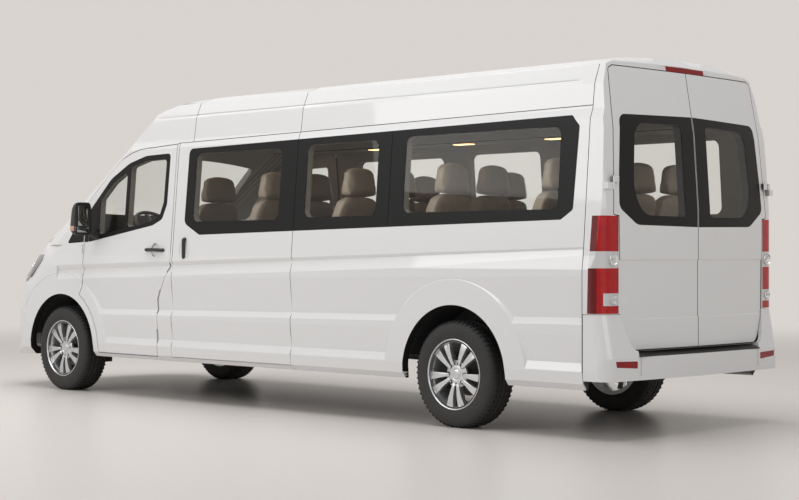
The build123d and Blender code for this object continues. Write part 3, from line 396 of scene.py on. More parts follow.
shellFinishes = ("headliner", "pillarTrim", "archBlack", "seamShade")
lining, pillar, arch, seamShadeSlot = range(1, 5)  # their places, after the paint
unlined = ("rear_bumper", "front_bumper", "front_wings", "bonnet")


def shellIndex(name, face):
    centre, normal = face.center, face.normal
    if abs(centre.y) < halfWidth(centre.z) - 0.001 and abs(normal.y) < 0.5 and inArch(centre, normal):
        return arch
    inset = halfWidth(centre.z) - abs(centre.y)
    outward = normal.y * (1 if centre.y > 0 else -1)
    rear = name.startswith("rear_door")
    # faces inside the grooves between panels get painted shade
    if inSeam(centre) and inset > 0.002 and not rear:
        return seamShadeSlot
    if name == "roof":
        if normal.z < -0.25 and centre.z > 1.9:
            return lining
        inner = outward < -0.1 or normal.z < -0.1 or (normal.x < -0.5 and centre.z < 1.95)
        return (pillar if centre.x > 1.6 else lining) if inner else 0
    if rear:
        # the tail doors' edges get painted shade, as in the gap between the doors
        return lining if normal.x > 0.3 else seamShadeSlot if abs(normal.x) < 0.3 else 0
    if inset > 0.03 and outward < -0.3 and name not in unlined:
        return lining
    edge = inset > 0.004 and abs(outward) < 0.3
    if edge and 1.25 < centre.z < 2.02 and name != "corner_posts":
        return pillar
    # the front and slide doors' edges get painted shade, as in the gaps around the doors
    return seamShadeSlot if edge and name.startswith(("front_door", "slide_door")) and normal.x > -0.6 else 0


def lineShells():
    # the inner faces of the painted shells get their linings, and the faces inside the seams and along the
    # door edges a near-black painted shade
    for name in nodeFinish["paint"]:
        mesh = nodes[name].data
        for finish in shellFinishes:
            mesh.materials.append(finishes[finish])
        for face in mesh.polygons:
            face.material_index = shellIndex(name, face)


for finish, names in nodeFinish.items():
    for name in names:
        data = nodes[name].data
        data.materials.clear()
        data.materials.append(finishes[finish])
        for face in data.polygons:
            face.material_index = 0
lineShells()
print("frame dressed")


def editMode():
    bpy.ops.object.mode_set(mode="EDIT")


def objectMode():
    bpy.ops.object.mode_set(mode="OBJECT")


def selectMesh(action="SELECT"):
    bpy.ops.mesh.select_all(action=action)


def pickKind(kind):
    bpy.ops.mesh.select_mode(type=kind)


def editAll():
    editMode()
    selectMesh()


def mergeClose(threshold):
    selectMesh()
    bpy.ops.mesh.remove_doubles(threshold=threshold)


def spin(steps, angle, **values):
    bpy.ops.mesh.spin(steps=steps, angle=angle, center=(0, 0, 0), axis=(0, 1, 0), **values)


def corners(obj):
    return [vertex.co for vertex in obj.data.vertices]


def subdivide(cuts):
    editAll()
    bpy.ops.mesh.subdivide(number_cuts=cuts)
    objectMode()


def clearSelection():
    if bpy.context.object and bpy.context.object.mode != "OBJECT":
        objectMode()
    bpy.ops.object.select_all(action="DESELECT")


def pick(*objects):
    clearSelection()
    for item in objects:
        item.select_set(True)
    bpy.context.view_layer.objects.active = objects[0]


def applyModifier(obj, kind, **values):
    pick(obj)
    modifier = obj.modifiers.new(kind.lower(), kind)
    for key, value in values.items():
        setattr(modifier, key, value)
    bpy.ops.object.modifier_apply(modifier=modifier.name)


def smooth(obj, angle=35):
    pick(obj)
    bpy.ops.object.shade_smooth_by_angle(angle=math.radians(angle))


def place(obj, matrix=None):
    pick(obj)
    if matrix is not None:
        obj.matrix_world = matrix @ obj.matrix_world
    bpy.ops.object.transform_apply(location=True, rotation=True, scale=True)


def addBlock(name, low, high, bevel=0.0, segments=3):
    clearSelection()
    low, high = Vector(low), Vector(high)
    bpy.ops.mesh.primitive_cube_add(size=1, location=(low + high) / 2)
    obj = bpy.context.object
    obj.name = name
    obj.scale = high - low
    place(obj)
    if bevel:
        applyModifier(obj, "BEVEL", width=bevel, segments=segments, limit_method="NONE")
        smooth(obj)
    return obj


def drawLine(name, points):
    clearSelection()
    bpy.ops.mesh.primitive_plane_add(size=0.01, location=points[0])
    obj = bpy.context.object
    obj.name = name
    editAll()
    bpy.ops.mesh.merge(type="CENTER")
    for start, end in zip(points, points[1:]):
        step = Vector(end) - Vector(start)
        bpy.ops.mesh.extrude_vertices_move(TRANSFORM_OT_translate={"value": step})
    objectMode()
    place(obj)
    return obj


def addTurned(name, profile, steps=48, axis="Y", centre=(0, 0, 0), angle=40):
    obj = drawLine(name, [(radius, along, 0) for radius, along in profile])
    editAll()
    spin(steps, math.tau)
    mergeClose(0.00005)
    bpy.ops.mesh.normals_make_consistent(inside=False)
    objectMode()
    turn = {"Y": Matrix(), "X": Matrix.Rotation(-math.pi / 2, 4, "Z")}
    place(obj, Matrix.Translation(centre) @ turn[axis])
    smooth(obj, angle)
    return obj


def addTube(name, points, radius, sides=3):
    clearSelection()
    curve = bpy.data.curves.new(name, "CURVE")
    curve.dimensions = "3D"
    curve.bevel_depth = radius
    curve.bevel_resolution = sides
    curve.use_fill_caps = True
    spline = curve.splines.new("NURBS")
    spline.points.add(len(points) - 1)
    for point, spot in zip(spline.points, points):
        point.co = (*spot, 1)
    spline.order_u = 3
    spline.use_endpoint_u = True
    obj = bpy.data.objects.new(name, curve)
    linkObject(obj)
    pick(obj)
    bpy.ops.object.convert(target="MESH")
    obj = bpy.context.object
    smooth(obj, 50)
    return obj


def copyPiece(obj, name, matrix):
    clearSelection()
    twin = obj.copy()
    twin.data = obj.data.copy()
    twin.name = name
    linkObject(twin)
    place(twin, matrix)
    if matrix.determinant() < 0:
        editAll()
        bpy.ops.mesh.flip_normals()
        objectMode()
    return twin


def joinPieces(name, pieces):
    pick(*pieces)
    if len(pieces) > 1:
        bpy.ops.object.join()
    obj = bpy.context.object
    obj.name = name
    return obj


def dropPieces(*objects):
    for item in objects:
        bpy.data.objects.remove(item)


def finishPiece(obj, body, finish, slotName, *replaced):
    if finish:  # a copy of a solid keeps its own finishes
        obj.data.materials.clear()
        obj.data.materials.append(finishes[finish])
    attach(obj, body)
    if replaced:
        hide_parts(*replaced)
    return obj


def acrossY(hand):
    return Matrix.Diagonal((1, hand, 1, 1))


def wheelMatrix(axle, side):
    turn = Matrix() if side == "left" else Matrix.Rotation(math.pi, 4, "Z")
    return Matrix.Translation((axleX[axle], sides[side] * wheelSpot["y"], wheelSpot["z"])) @ turn


tyreSettings = {"steps": 60, "lug": 4.4, "sipe": 1.6, "depth": 0.006}  # lug and sipe share one step


def buildTyre():
    side = [
        (0.2195, 0.1045), (0.235, 0.1045), (0.2392, 0.112), (0.244, 0.1148), (0.248, 0.114),
        (0.2515, 0.1152), (0.272, 0.1172), (0.292, 0.1178), (0.313, 0.116), (0.327, 0.1118),
        (0.333, 0.1072), (0.3352, 0.107), (0.34, 0.103), (0.347, 0.0965), (0.3525, 0.088), (0.355, 0.078),
        (0.3562, 0.061), (0.349, 0.06), (0.3488, 0.053), (0.3566, 0.052), (0.357, 0.024), (0.3492, 0.023),
        (0.3492, 0.015), (0.357, 0.014),
    ]
    profile = side + [(radius, -along) for radius, along in reversed(side)]
    turn = math.radians(360 / tyreSettings["steps"])
    lug = turn * tyreSettings["lug"] / (tyreSettings["lug"] + tyreSettings["sipe"])
    obj = drawLine("tyre", [(radius, along, 0) for radius, along in profile])
    editAll()
    spin(2, lug)
    spin(1, turn - lug)
    mergeClose(0.00002)
    selectMesh("DESELECT")
    objectMode()
    mesh = obj.data
    angles = [-math.atan2(vertex.co.z, vertex.co.x) for vertex in mesh.vertices]
    for face in mesh.polygons:
        middle = sum(abs(angles[index]) for index in face.vertices) / len(face.vertices)
        radius = math.hypot(face.center.x, face.center.z)
        aside = abs(face.center.y)
        shoulder, tread = radius > 0.3405 and aside > 0.062, radius > 0.355 and 0.025 < aside < 0.05
        if middle > lug and (shoulder or tread):
            face.select = True
    editMode()
    pickKind("FACE")
    bpy.ops.mesh.extrude_region_shrink_fatten(TRANSFORM_OT_shrink_fatten={"value": -tyreSettings["depth"]})
    pickKind("VERT")
    selectMesh()
    spin(tyreSettings["steps"], math.tau, dupli=True)
    mergeClose(0.0002)
    bpy.ops.mesh.normals_make_consistent(inside=False)
    objectMode()
    smooth(obj, 28)
    return obj


wheelSettings = {"spokes": 10, "pairStep": 72, "pairGap": 13.5, "bolts": 8, "boltCircle": 0.073}
spokeSettings = {"centre": (0.1435, 0.074, 0), "size": (0.165, 0.024, 0.036), "foot": 0.061, "crown": 0.03}


def buildRim():
    barrel = addTurned("barrel", [
        (0.2185, -0.104), (0.2185, 0.1035), (0.233, 0.1035), (0.2378, 0.107), (0.238, 0.1115), (0.235, 0.113),
        (0.231, 0.111), (0.2275, 0.104), (0.225, 0.096), (0.22, 0.086), (0.215, 0.076), (0.208, 0.05),
        (0.2, 0.01), (0.198, -0.05), (0.208, -0.106), (0.237, -0.111), (0.2375, -0.105), (0.2185, -0.104),
    ], steps=96)
    hub = addTurned("hub", [
        (0.0, 0.0925), (0.02, 0.0918), (0.03, 0.089), (0.0335, 0.085), (0.0342, 0.0835), (0.038, 0.083),
        (0.042, 0.085), (0.086, 0.08), (0.0915, 0.076), (0.092, 0.062), (0.05, 0.056), (0.0, 0.056),
    ], steps=64)
    # one spoke: a bar from the hub to the rim, wide at the rim, with a sunk face
    clearSelection()
    bpy.ops.mesh.primitive_cube_add(size=1, location=spokeSettings["centre"])
    spoke = bpy.context.object
    spoke.scale = spokeSettings["size"]
    place(spoke)
    subdivide(3)
    for co in corners(spoke):
        share = max(0.0, (co.x - spokeSettings["foot"]) / spokeSettings["size"][0])
        co.z *= 0.62 + 1.05 * share ** 1.3
        crown = 1 - min(1, abs(co.z) / spokeSettings["crown"]) ** 2
        face = 0.5 + (co.y - spokeSettings["centre"][1]) / spokeSettings["size"][1]
        arc = 0.006 + 0.01 * math.sin(math.pi * share)
        co.y += arc * face - 0.004 * crown * face * (share > 0.1)
        co.y -= 0.016 * (1 - face) * (1 - share)
    applyModifier(spoke, "SUBSURF", levels=1, render_levels=1)
    parts = [barrel, hub]
    for number in range(wheelSettings["spokes"]):
        offset = wheelSettings["pairGap"] * (1 if number % 2 else -1)
        turn = Matrix.Rotation(math.radians(wheelSettings["pairStep"] * (number // 2) + offset + 90), 4, "Y")
        parts.append(copyPiece(spoke, "spoke", turn))
    bolts, boltShades = [], []
    for number in range(wheelSettings["bolts"]):
        angle = math.tau * number / wheelSettings["bolts"]
        spot = Vector((math.cos(angle), 0, math.sin(angle))) * wheelSettings["boltCircle"]
        # each bolt sits in a near-black disc: painted shade of the bolt's recess in the hub
        boltShades.append(addTurned("boltSeatShade", [
            (0.0, 0.08), (0.0095, 0.08), (0.0105, 0.085), (0.013, 0.0866), (0.0146, 0.085), (0.0146, 0.074),
            (0.0, 0.074),
        ], steps=20, centre=spot))
        bolts.append(addTurned("boltHead", [
            (0.0, 0.088), (0.0045, 0.088), (0.0068, 0.0862), (0.0068, 0.078), (0.0, 0.078),
        ], steps=6, centre=spot, angle=20))
    dropPieces(spoke)
    rim = joinPieces("rim", parts)
    smooth(rim, 32)
    return rim, joinPieces("wheelBolts", bolts), joinPieces("boltRecessShade", boltShades)


def fitWheels():
    tyre = buildTyre()
    rim, nuts, boltShades = buildRim()
    valve = addTube("valve", [(0.2, 0.098, 0.03), (0.192, 0.101, 0.03), (0.182, 0.104, 0.03)], 0.003)
    pieces = [(tyre, "Tyre", "tyre", "tyre"), (rim, "Rim", "alloy", "alloy"),
              (nuts, "Bolts", "steel", "alloy"), (boltShades, "RecessShade", "archBlack", "dark_plastic"),
              (valve, "Valve", "rubber", "tyre")]
    for axle in axleX:
        for side in sides:
            body = f"wheel_{axle}_{side}"
            for piece, label, finish, slotName in pieces:
                twin = copyPiece(piece, f"{axle}{side.title()}{label}", wheelMatrix(axle, side))
                replaced = [f"{axle}_{side}_{label.lower()}"] if label in ("Tyre", "Rim") else []
                finishPiece(twin, body, finish, slotName, *replaced)
    dropPieces(*(piece for piece, *rest in pieces))


fitWheels()
print("wheels fitted")


seatSettings = {"halfWidth": 0.213, "play": 0.008, "back": (1.095, 1.56), "head": (1.586, 1.79),
                "headHalf": 0.146, "cushion": (0.085, 0.575), "voxel": 0.011, "pressure": 4.0, "frames": 20,
                "cap": 0.012, "cabWider": 1.12}
seamSettings = {"side": 0.125, "front": 0.47, "width": 0.009, "depth": 0.006}  # channels sewn into the pads
cabinSeats = [(2.15, 0.655), (2.15, 0.225), (1.23, 0.655), (1.23, 0.225), (0.3, 0.655), (0.3, 0.225),
              (1.8, -0.65), (0.88, -0.65), (-0.65, 0.65), (-0.65, 0.218), (-0.65, -0.218), (-0.65, -0.65)]
cabSeats = [(3.14, 0.4), (3.14, -0.42)]


def padBlank(name, low, high, cuts):
    obj = addBlock(name, low, high)
    subdivide(cuts)
    return obj


def fillPad(pad):
    # the pad swells under pressure, but no vertex moves further than the cap
    applyModifier(pad, "REMESH", mode="VOXEL", voxel_size=seatSettings["voxel"])
    rest = [vertex.co.copy() for vertex in pad.data.vertices]
    pick(pad)
    cloth = pad.modifiers.new("cloth", "CLOTH")
    cloth.settings.use_pressure = True
    cloth.settings.uniform_pressure_force = seatSettings["pressure"]
    cloth.settings.effector_weights.gravity = 0
    cloth.point_cache.frame_end = seatSettings["frames"]
    for number in range(1, seatSettings["frames"] + 1):
        bpy.context.scene.frame_set(number)
    bpy.ops.object.modifier_apply(modifier="cloth")
    for vertex, start in zip(pad.data.vertices, rest):
        moved = vertex.co - start
        if moved.length > seatSettings["cap"]:
            vertex.co = start + moved.normalized() * seatSettings["cap"]
    bpy.context.scene.frame_set(1)
    applyModifier(pad, "SMOOTH", factor=0.5, iterations=2)


def channel(distance):
    return seamSettings["depth"] * math.exp(-(distance / seamSettings["width"]) ** 2)


def buildSeat():
    half = seatSettings["halfWidth"] - seatSettings["play"]
    foot, top = seatSettings["back"]
    back = padBlank("seatBack", (-0.05, -half, foot), (0.05, half, top), 5)
    for co in corners(back):
        share = (co.z - foot) / 0.465
        edge = abs(co.y) / half
        co.y *= 1.03 - 0.13 * max(0, share - 0.62) / 0.38
        co.z += 0.03 * share - 0.04 * edge ** 4 * max(0, share - 0.5) / 0.5
        co.x *= 1.0 - 0.22 * share
        bolster = 0.014 * edge ** 2 if co.x > 0 else 0
        co.x += 0.132 - 0.124 * share + bolster
    (low, high), wide = seatSettings["head"], seatSettings["headHalf"]
    head = padBlank("seatHead", (-0.046, -wide, low), (0.054, wide, high), 5)
    for co in corners(head):
        share = (co.z - low) / 0.204
        edge = abs(co.y) / wide
        co.y *= 0.95 + 0.05 * math.sin(math.pi * min(1, share * 1.4)) - 0.11 * share ** 3
        co.z -= 0.03 * edge ** 5 * share
        co.x = co.x * (1 - 0.25 * share) - 0.004 * edge ** 2
    rear, front = seatSettings["cushion"]
    cushion = padBlank("seatCushion", (rear, -half, 0.972), (front, half, 1.07), 5)
    for co in corners(cushion):
        share = (co.x - rear) / 0.49
        edge = abs(co.y) / half
        if co.z > 1.02:
            co.z += 0.008 * edge ** 2 - 0.012 * share ** 4
        else:
            co.x -= 0.03 * share
    pads = [back, head, cushion]
    for pad in pads:
        applyModifier(pad, "SUBSURF", levels=2, render_levels=2)
    for pad in pads:
        fillPad(pad)
    for co in corners(back):
        if co.x > 0.13 - 0.124 * (co.z - foot) / 0.465 and co.z < 1.53:
            co.x -= channel(abs(co.y) - seamSettings["side"])
    for co in corners(cushion):
        if co.z > 1.03:
            co.z -= channel(abs(co.y) - seamSettings["side"])
            co.z -= channel(co.x - seamSettings["front"])
    for pad in pads:
        smooth(pad, 80)
    posts = [addTube("headPost", [(0.006, y, 1.5), (0.004, y, 1.58), (0.004, y, 1.66)], 0.0065)
             for y in (-0.06, 0.06)]
    return pads, joinPieces("headPosts", posts)


def fitSeats():
    pads, posts = buildSeat()
    for group, spots, grow in (("cabin", cabinSeats, 1.0), ("cab", cabSeats, seatSettings["cabWider"])):
        for number, (headX, seatY) in enumerate(spots, 1):
            spot = Matrix.Translation((headX - rearAxle, seatY, 0)) @ acrossY(grow)
            for pad, label in zip(pads, ("Back", "Head", "Cushion")):
                twin = copyPiece(pad, f"{group}Seat{number}{label}", spot)
                finishPiece(twin, "body", "leather", "leather", f"{group}_seats")
            finishPiece(copyPiece(posts, f"{group}Seat{number}Posts", spot), "body", "steel", "chassis_steel")
    dropPieces(*pads, posts)


fitSeats()
print("seats fitted")


def bowl(name, centre, radius, depth):
    profile = [(0.0, depth), (radius * 0.55, depth * 0.86), (radius * 0.85, depth * 0.5), (radius, 0.0),
               (radius * 0.97, -0.001), (radius * 0.82, depth * 0.46), (radius * 0.52, depth * 0.8),
               (0.0, depth * 0.93)]
    return addTurned(name, profile, steps=36, axis="X", centre=centre)


lampCups = {"Reverse": (1.126, 0.04), "Turn": (0.878, 0.03)}  # height and radius
lampCupY = 0.876


def fitRearLamps():
    for side, hand in sides.items():
        for label, (z, radius) in lampCups.items():
            cup = bowl(f"{side}{label}Cup", (-3.368, hand * lampCupY, z), radius, 0.03)
            finishPiece(cup, "body", "reflector", "clear_lens")
            bulb = addTurned(f"{side}{label}Bulb", [
                (0.0, -0.004), (0.005, -0.003), (0.0075, 0.003), (0.0075, 0.014), (0.0, 0.016),
            ], steps=20, axis="X", centre=(-3.366, hand * lampCupY, z))
            finishPiece(bulb, "body", "clearLens", "clear_lens")


fitRearLamps()
print("lamps fitted")


ductSettings = {"rear": -1.0, "front": 3.45, "outer": 0.842, "low": 2.028, "high": 2.255, "wall": 0.004}
ductLamps = [0.35, 1.28, 2.23, 3.16]


def fitDucts():
    low, high = ductSettings["low"], ductSettings["high"]
    outline = [(ductSettings["outer"], low + 0.004), (0.6, low), (0.487, 2.03), (0.472, 2.04), (0.47, 2.06),
               (0.49, 2.15), (0.53, 2.215), (0.6, high), (0.74, 2.262)]
    rear, front = (ductSettings[key] - rearAxle for key in ("rear", "front"))
    duct = drawLine("duct", [(rear, y, z) for y, z in outline])
    editAll()
    bpy.ops.mesh.extrude_region_move(TRANSFORM_OT_translate={"value": (front - rear, 0, 0)})
    objectMode()
    applyModifier(duct, "SOLIDIFY", thickness=ductSettings["wall"], offset=0)
    smooth(duct, 40)
    ledge = addBlock("ductLedge", (rear, 0.4672, 2.029), (front, 0.47, 2.035), 0.0008)
    for side, hand in sides.items():
        turn = acrossY(hand)
        finishPiece(copyPiece(duct, f"ceilingDuct_{side}", turn), "body", "headliner", "body_paint")
        finishPiece(copyPiece(ledge, f"ductLedge_{side}", turn), "body", "seamShade", "dark_plastic")
        for number, x in enumerate(ductLamps, 1):
            low = (x - rearAxle - 0.085, hand * 0.545 - 0.038, 2.018)
            lens = addBlock(f"readingLamp_{side}_{number}", low, (low[0] + 0.17, low[1] + 0.076, 2.03), 0.004)
            finishPiece(lens, "body", "warmLamp", "clear_lens")
            low = (low[0] - 0.02, low[1] - 0.016, 2.0235)
            high = (low[0] + 0.21, low[1] + 0.108, 2.03)
            base = addBlock(f"readingLampBase_{side}_{number}", low, high, 0.003)
            finishPiece(base, "body", "darkPlastic", "dark_plastic")
    dropPieces(duct, ledge)


fitDucts()
print("cabin fitted")


def onFrame(face):
    # the window frame in door_trim, without its mirror and handle
    return face.center.z > 1.25 and abs(face.center.y) < halfWidth(face.center.z) + 0.0004


def partOf(nodeName, name, keep=None):
    mesh = nodes[nodeName].data.copy()
    piece = bpy.data.objects.new(name, mesh)
    linkObject(piece)
    pick(piece)
    editMode()
    pickKind("VERT")
    mergeClose(0.00002)
    selectMesh("DESELECT")
    pickKind("FACE")
    objectMode()
    for face in mesh.polygons:
        face.select = bool(keep) and not keep(face)
    editMode()
    bpy.ops.mesh.delete(type="FACE")
    pickKind("VERT")
    objectMode()
    return piece


mirrorSettings = {"low": (3.985, 1.062, 1.315), "high": (4.088, 1.238, 1.588), "front": 0.34, "rim": 0.008,
                  "power": 7, "recess": 0.01}


def buildMirror():
    low, high, power = (mirrorSettings[key] for key in ("low", "high", "power"))
    low = (low[0] - rearAxle, low[1], low[2])
    high = (high[0] - rearAxle, high[1], high[2])
    shell = padBlank("mirrorShell", low, high, 7)
    for co in corners(shell):
        spot = [2 * (co[axis] - low[axis]) / (high[axis] - low[axis]) - 1 for axis in range(3)]
        wide = max(abs(spot[1]), abs(spot[2]))
        rounded = (abs(spot[1]) ** power + abs(spot[2]) ** power) ** (1 / power)
        share = (spot[2] + 1) / 2
        ahead = (spot[0] + 1) / 2
        pull = (wide / rounded if rounded else 1) * (1 - mirrorSettings["front"] * ahead ** 2.4)
        spot[1], spot[2] = spot[1] * pull, spot[2] * pull
        spot[1] = spot[1] * (1 - 0.14 * share ** 1.5) - 0.02 * share
        for axis in range(3):
            co[axis] = low[axis] + (spot[axis] + 1) / 2 * (high[axis] - low[axis])
        co.x -= 0.014 * share ** 1.6 * ahead
    editMode()
    pickKind("FACE")
    selectMesh("DESELECT")
    objectMode()
    for face in shell.data.polygons:
        face.select = face.normal.x < -0.9
    editMode()
    bpy.ops.mesh.inset(thickness=mirrorSettings["rim"])
    bpy.ops.mesh.extrude_region_move(TRANSFORM_OT_translate={"value": (mirrorSettings["recess"], 0, 0)})
    objectMode()
    smooth(shell, 45)
    x = low[0]
    glass = addBlock("mirrorGlass", (x + 0.004, 1.1, 1.395), (x + 0.0085, 1.196, 1.556), 0.002)
    wide = addBlock("mirrorWide", (x + 0.004, 1.094, 1.34), (x + 0.0085, 1.206, 1.386), 0.002)
    lamp = addBlock("mirrorLamp", (x + 0.006, 1.214, 1.35), (x + 0.062, 1.2395, 1.392), 0.008)
    line = ((0.95, 1.3), (1.000, 1.322), (1.05, 1.345), (1.1, 1.352))
    arm = addTube("mirrorArm", [(x + 0.055, y, z) for y, z in line], 0.027, 6)
    return [(shell, "Shell", "blackTrim", "black_plastic"), (glass, "Glass", "mirror", "mirror"),
            (wide, "Wide", "mirror", "mirror"), (lamp, "Lamp", "amberLens", "clear_lens"),
            (arm, "Arm", "blackTrim", "black_plastic")]


handleSettings = {"rear": 3.13, "front": 3.355, "z": 1.195, "out": 1.004, "radius": 0.0135}


def buildHandle():
    rear, front, z = (handleSettings[key] for key in ("rear", "front", "z"))
    rear, front = rear - rearAxle, front - rearAxle
    out = handleSettings["out"] - handleSettings["radius"]
    points = [(front - 0.004, 0.968, z), (front - 0.002, out, z + 0.001),
              (front - 0.03, out + 0.001, z + 0.002), (rear + 0.06, out + 0.002, z - 0.001),
              (rear + 0.02, out, z - 0.002),
              (rear + 0.004, out - 0.002, z - 0.002), (rear + 0.004, 0.968, z - 0.002)]
    return addTube("doorHandle", points, handleSettings["radius"], 6)


def fitDoorTrim():
    pieces = buildMirror()
    handle = buildHandle()
    for side, hand in sides.items():
        body = f"cab_door_{side}"
        turn = acrossY(hand)
        rim = partOf(f"door_trim_{side}", f"doorFrame_{side}", onFrame)
        finishPiece(rim, body, "blackGloss", "black_gloss", f"door_trim_{side}")
        for piece, label, finish, slotName in pieces:
            replaced = [f"mirror_face_{side}"] if label == "Glass" else []
            finishPiece(copyPiece(piece, f"mirror{label}_{side}", turn), body, finish, slotName, *replaced)
        finishPiece(copyPiece(handle, f"doorHandle_{side}", turn), body, "blackTrim", "black_plastic")
    dropPieces(*(piece for piece, *rest in pieces), handle)


fitDoorTrim()
print("door trim fitted")


aheadX, behindX = 4.5, -4.2  # where rays start, clear of both ends


def skinHit(nodeName, start, way):
    hit, spot, normal, _ = nodes[nodeName].ray_cast(Vector(start), Vector(way))
    return (spot, normal) if hit else None


def fitSails():
    # the black corner plate between the mirror and the windscreen pillar, bent to the door
    sail = padBlank("sail", (4.166 - rearAxle, 0.95, 1.263), (4.2165 - rearAxle, 0.954, 1.528), 5)
    for co in corners(sail):
        outer = co.y > 0.952
        co.y = halfWidth(co.z) + (0.0018 if outer else -0.002)
    for side, hand in sides.items():
        twin = copyPiece(sail, f"sail_{side}", acrossY(hand))
        finishPiece(twin, f"cab_door_{side}", "blackGloss", "black_gloss")
    dropPieces(sail)


fitSails()


lampUnits = [(0.6, 1.05, 0.036), (0.715, 1.055, 0.04), (0.825, 1.058, 0.036)]
lampLine = [(0.5, 0.995), (0.6, 0.975), (0.7, 0.962), (0.8, 0.951), (0.88, 0.943), (0.93, 0.96)]


def fitHeadlamps():
    for side, hand in sides.items():
        for number, (y, z, radius) in enumerate(lampUnits, 1):
            found = skinHit("headlamps", (aheadX, hand * y, z), (-1, 0, 0))
            if not found:
                continue
            spot, normal = found
            seat = Matrix.Translation(spot) @ normal.to_track_quat("X", "Z").to_matrix().to_4x4()
            ring = addTurned(f"lampRing_{side}_{number}", [
                (radius * 0.8, 0.0005), (radius * 0.84, 0.003), (radius * 0.95, 0.0032), (radius, 0.001),
                (radius, -0.008), (radius * 0.8, -0.008),
            ], steps=40, axis="X")
            eye = addTurned(f"lampEye_{side}_{number}", [
                (0.0, 0.003), (radius * 0.4, 0.0024), (radius * 0.7, 0.0014), (radius * 0.84, 0.0005),
                (0.0, -0.006),
            ], steps=40, axis="X")
            place(ring, seat)
            place(eye, seat)
            finishPiece(ring, "body", "chrome", "mirror")
            finishPiece(eye, "body", "screen", "glass")
        found = [skinHit("headlamps", (aheadX, hand * y, z), (-1, 0, 0)) for y, z in lampLine]
        spots = [tuple(item[0]) for item in found if item]
        if len(spots) > 2:
            strip = addTube(f"daylight_{side}", spots, 0.0045)
            finishPiece(strip, "body", "daylight", "clear_lens")


fitHeadlamps()
redLamps = nodes["rear_lamps_red"].data
redLamps.materials.append(finishes["brakeLens"])
for face in redLamps.polygons:
    if face.center.z > 2.3:  # the high lamp over the tail doors
        face.material_index = 1


stepRibs = {"count": 7, "rear": -1.3165, "front": -1.3115, "pitch": 0.011, "half": 0.64,
            "low": 0.552, "high": 0.555}
bumperSeamShade = {"count": 8, "low": 0.398, "pitch": 0.0145, "y": 0.668, "half": 0.0012}


def fitTailTrim():
    # ribs on the step, bolts on the hinge plates, and near-black strips along the seams in the bumper:
    # painted shade of the seam
    ribs = []
    for number in range(stepRibs["count"]):
        low = (stepRibs["rear"] - rearAxle + stepRibs["pitch"] * number, -stepRibs["half"], stepRibs["low"])
        high = (stepRibs["front"] - rearAxle + stepRibs["pitch"] * number, stepRibs["half"], stepRibs["high"])
        ribs.append(addBlock("stepRib", low, high, 0.0008))
    finishPiece(joinPieces("stepRibs", ribs), "body", "darkPlastic", "black_plastic")
    for side, hand in sides.items():
        for number, (y, z) in enumerate(((0.844, 1.64), (0.844, 1.616)), 1):
            found = skinHit(f"rear_door_{side}", (behindX, hand * y, z), (1, 0, 0))
            if not found:
                continue
            bolt = addTurned(f"hingeBolt_{side}_{number}", [
                (0.0, -0.0025), (0.004, -0.0025), (0.0055, 0.0), (0.0055, 0.002), (0.0, 0.002),
            ], steps=18, axis="X", centre=tuple(found[0]))
            finishPiece(bolt, f"tail_door_{side}", "steel", "alloy")
        marks, y = [], hand * bumperSeamShade["y"]
        for number in range(bumperSeamShade["count"]):
            low, high = (bumperSeamShade["low"] + bumperSeamShade["pitch"] * step for step in (number, number + 1))
            found = skinHit("rear_bumper", (behindX, y, (low + high) / 2), (1, 0, 0))
            if found:
                x = found[0].x
                # each strip is near black: painted shade of the bumper's seam
                marks.append(addBlock("seamShadeMark", (x - 0.0006, y - bumperSeamShade["half"], low),
                                      (x + 0.002, y + bumperSeamShade["half"], high)))
        if marks:
            finishPiece(joinPieces(f"bumperSeamShade_{side}", marks), "body", "seamShade", "black_plastic")


fitTailTrim()
print("outer details fitted")


slideSettings = {"x": 2.868, "middle": 1.206, "out": 1.001, "radius": 0.014, "lip": 0.06, "lipBead": 0.0025,
                 "stretch": 0.022}


def fitSlideHandles():
    x = slideSettings["x"] - rearAxle
    out = slideSettings["out"] - slideSettings["radius"]
    points = [(x, 0.965, 1.134), (x, out - 0.002, 1.132), (x, out, 1.15), (x, out + 0.001, 1.206),
              (x, out, 1.262), (x, out - 0.002, 1.28), (x, 0.965, 1.278)]
    bar = addTube("slideBar", points, slideSettings["radius"], 6)
    clearSelection()
    bpy.ops.mesh.primitive_torus_add(location=(x, 0, 0), rotation=(math.pi / 2, 0, 0),
                                     major_radius=slideSettings["lip"], minor_radius=slideSettings["lipBead"],
                                     major_segments=64, minor_segments=8)
    lip = bpy.context.object
    place(lip)
    for co in corners(lip):
        if abs(co.z) > 0.0001:
            co.z += math.copysign(slideSettings["stretch"], co.z)
        co.z += slideSettings["middle"]
        co.y += halfWidth(co.z) - 0.001
    smooth(lip, 60)
    bars, lips = ([copyPiece(piece, f"{name}_{side}", acrossY(hand)) for side, hand in sides.items()]
                  for piece, name in ((bar, "slideBar"), (lip, "slideLip")))
    finishPiece(joinPieces("slideHandleBars", bars), "body", "blackTrim", "black_plastic", "slide_handles")
    finishPiece(joinPieces("slideHandleLips", lips), "body", "paint", "body_paint")
    dropPieces(bar, lip)


fitSlideHandles()
print("slide handles fitted")


foldSettings = {"low": 0.757, "high": 1.118, "depth": 0.006, "ramp": 0.01}


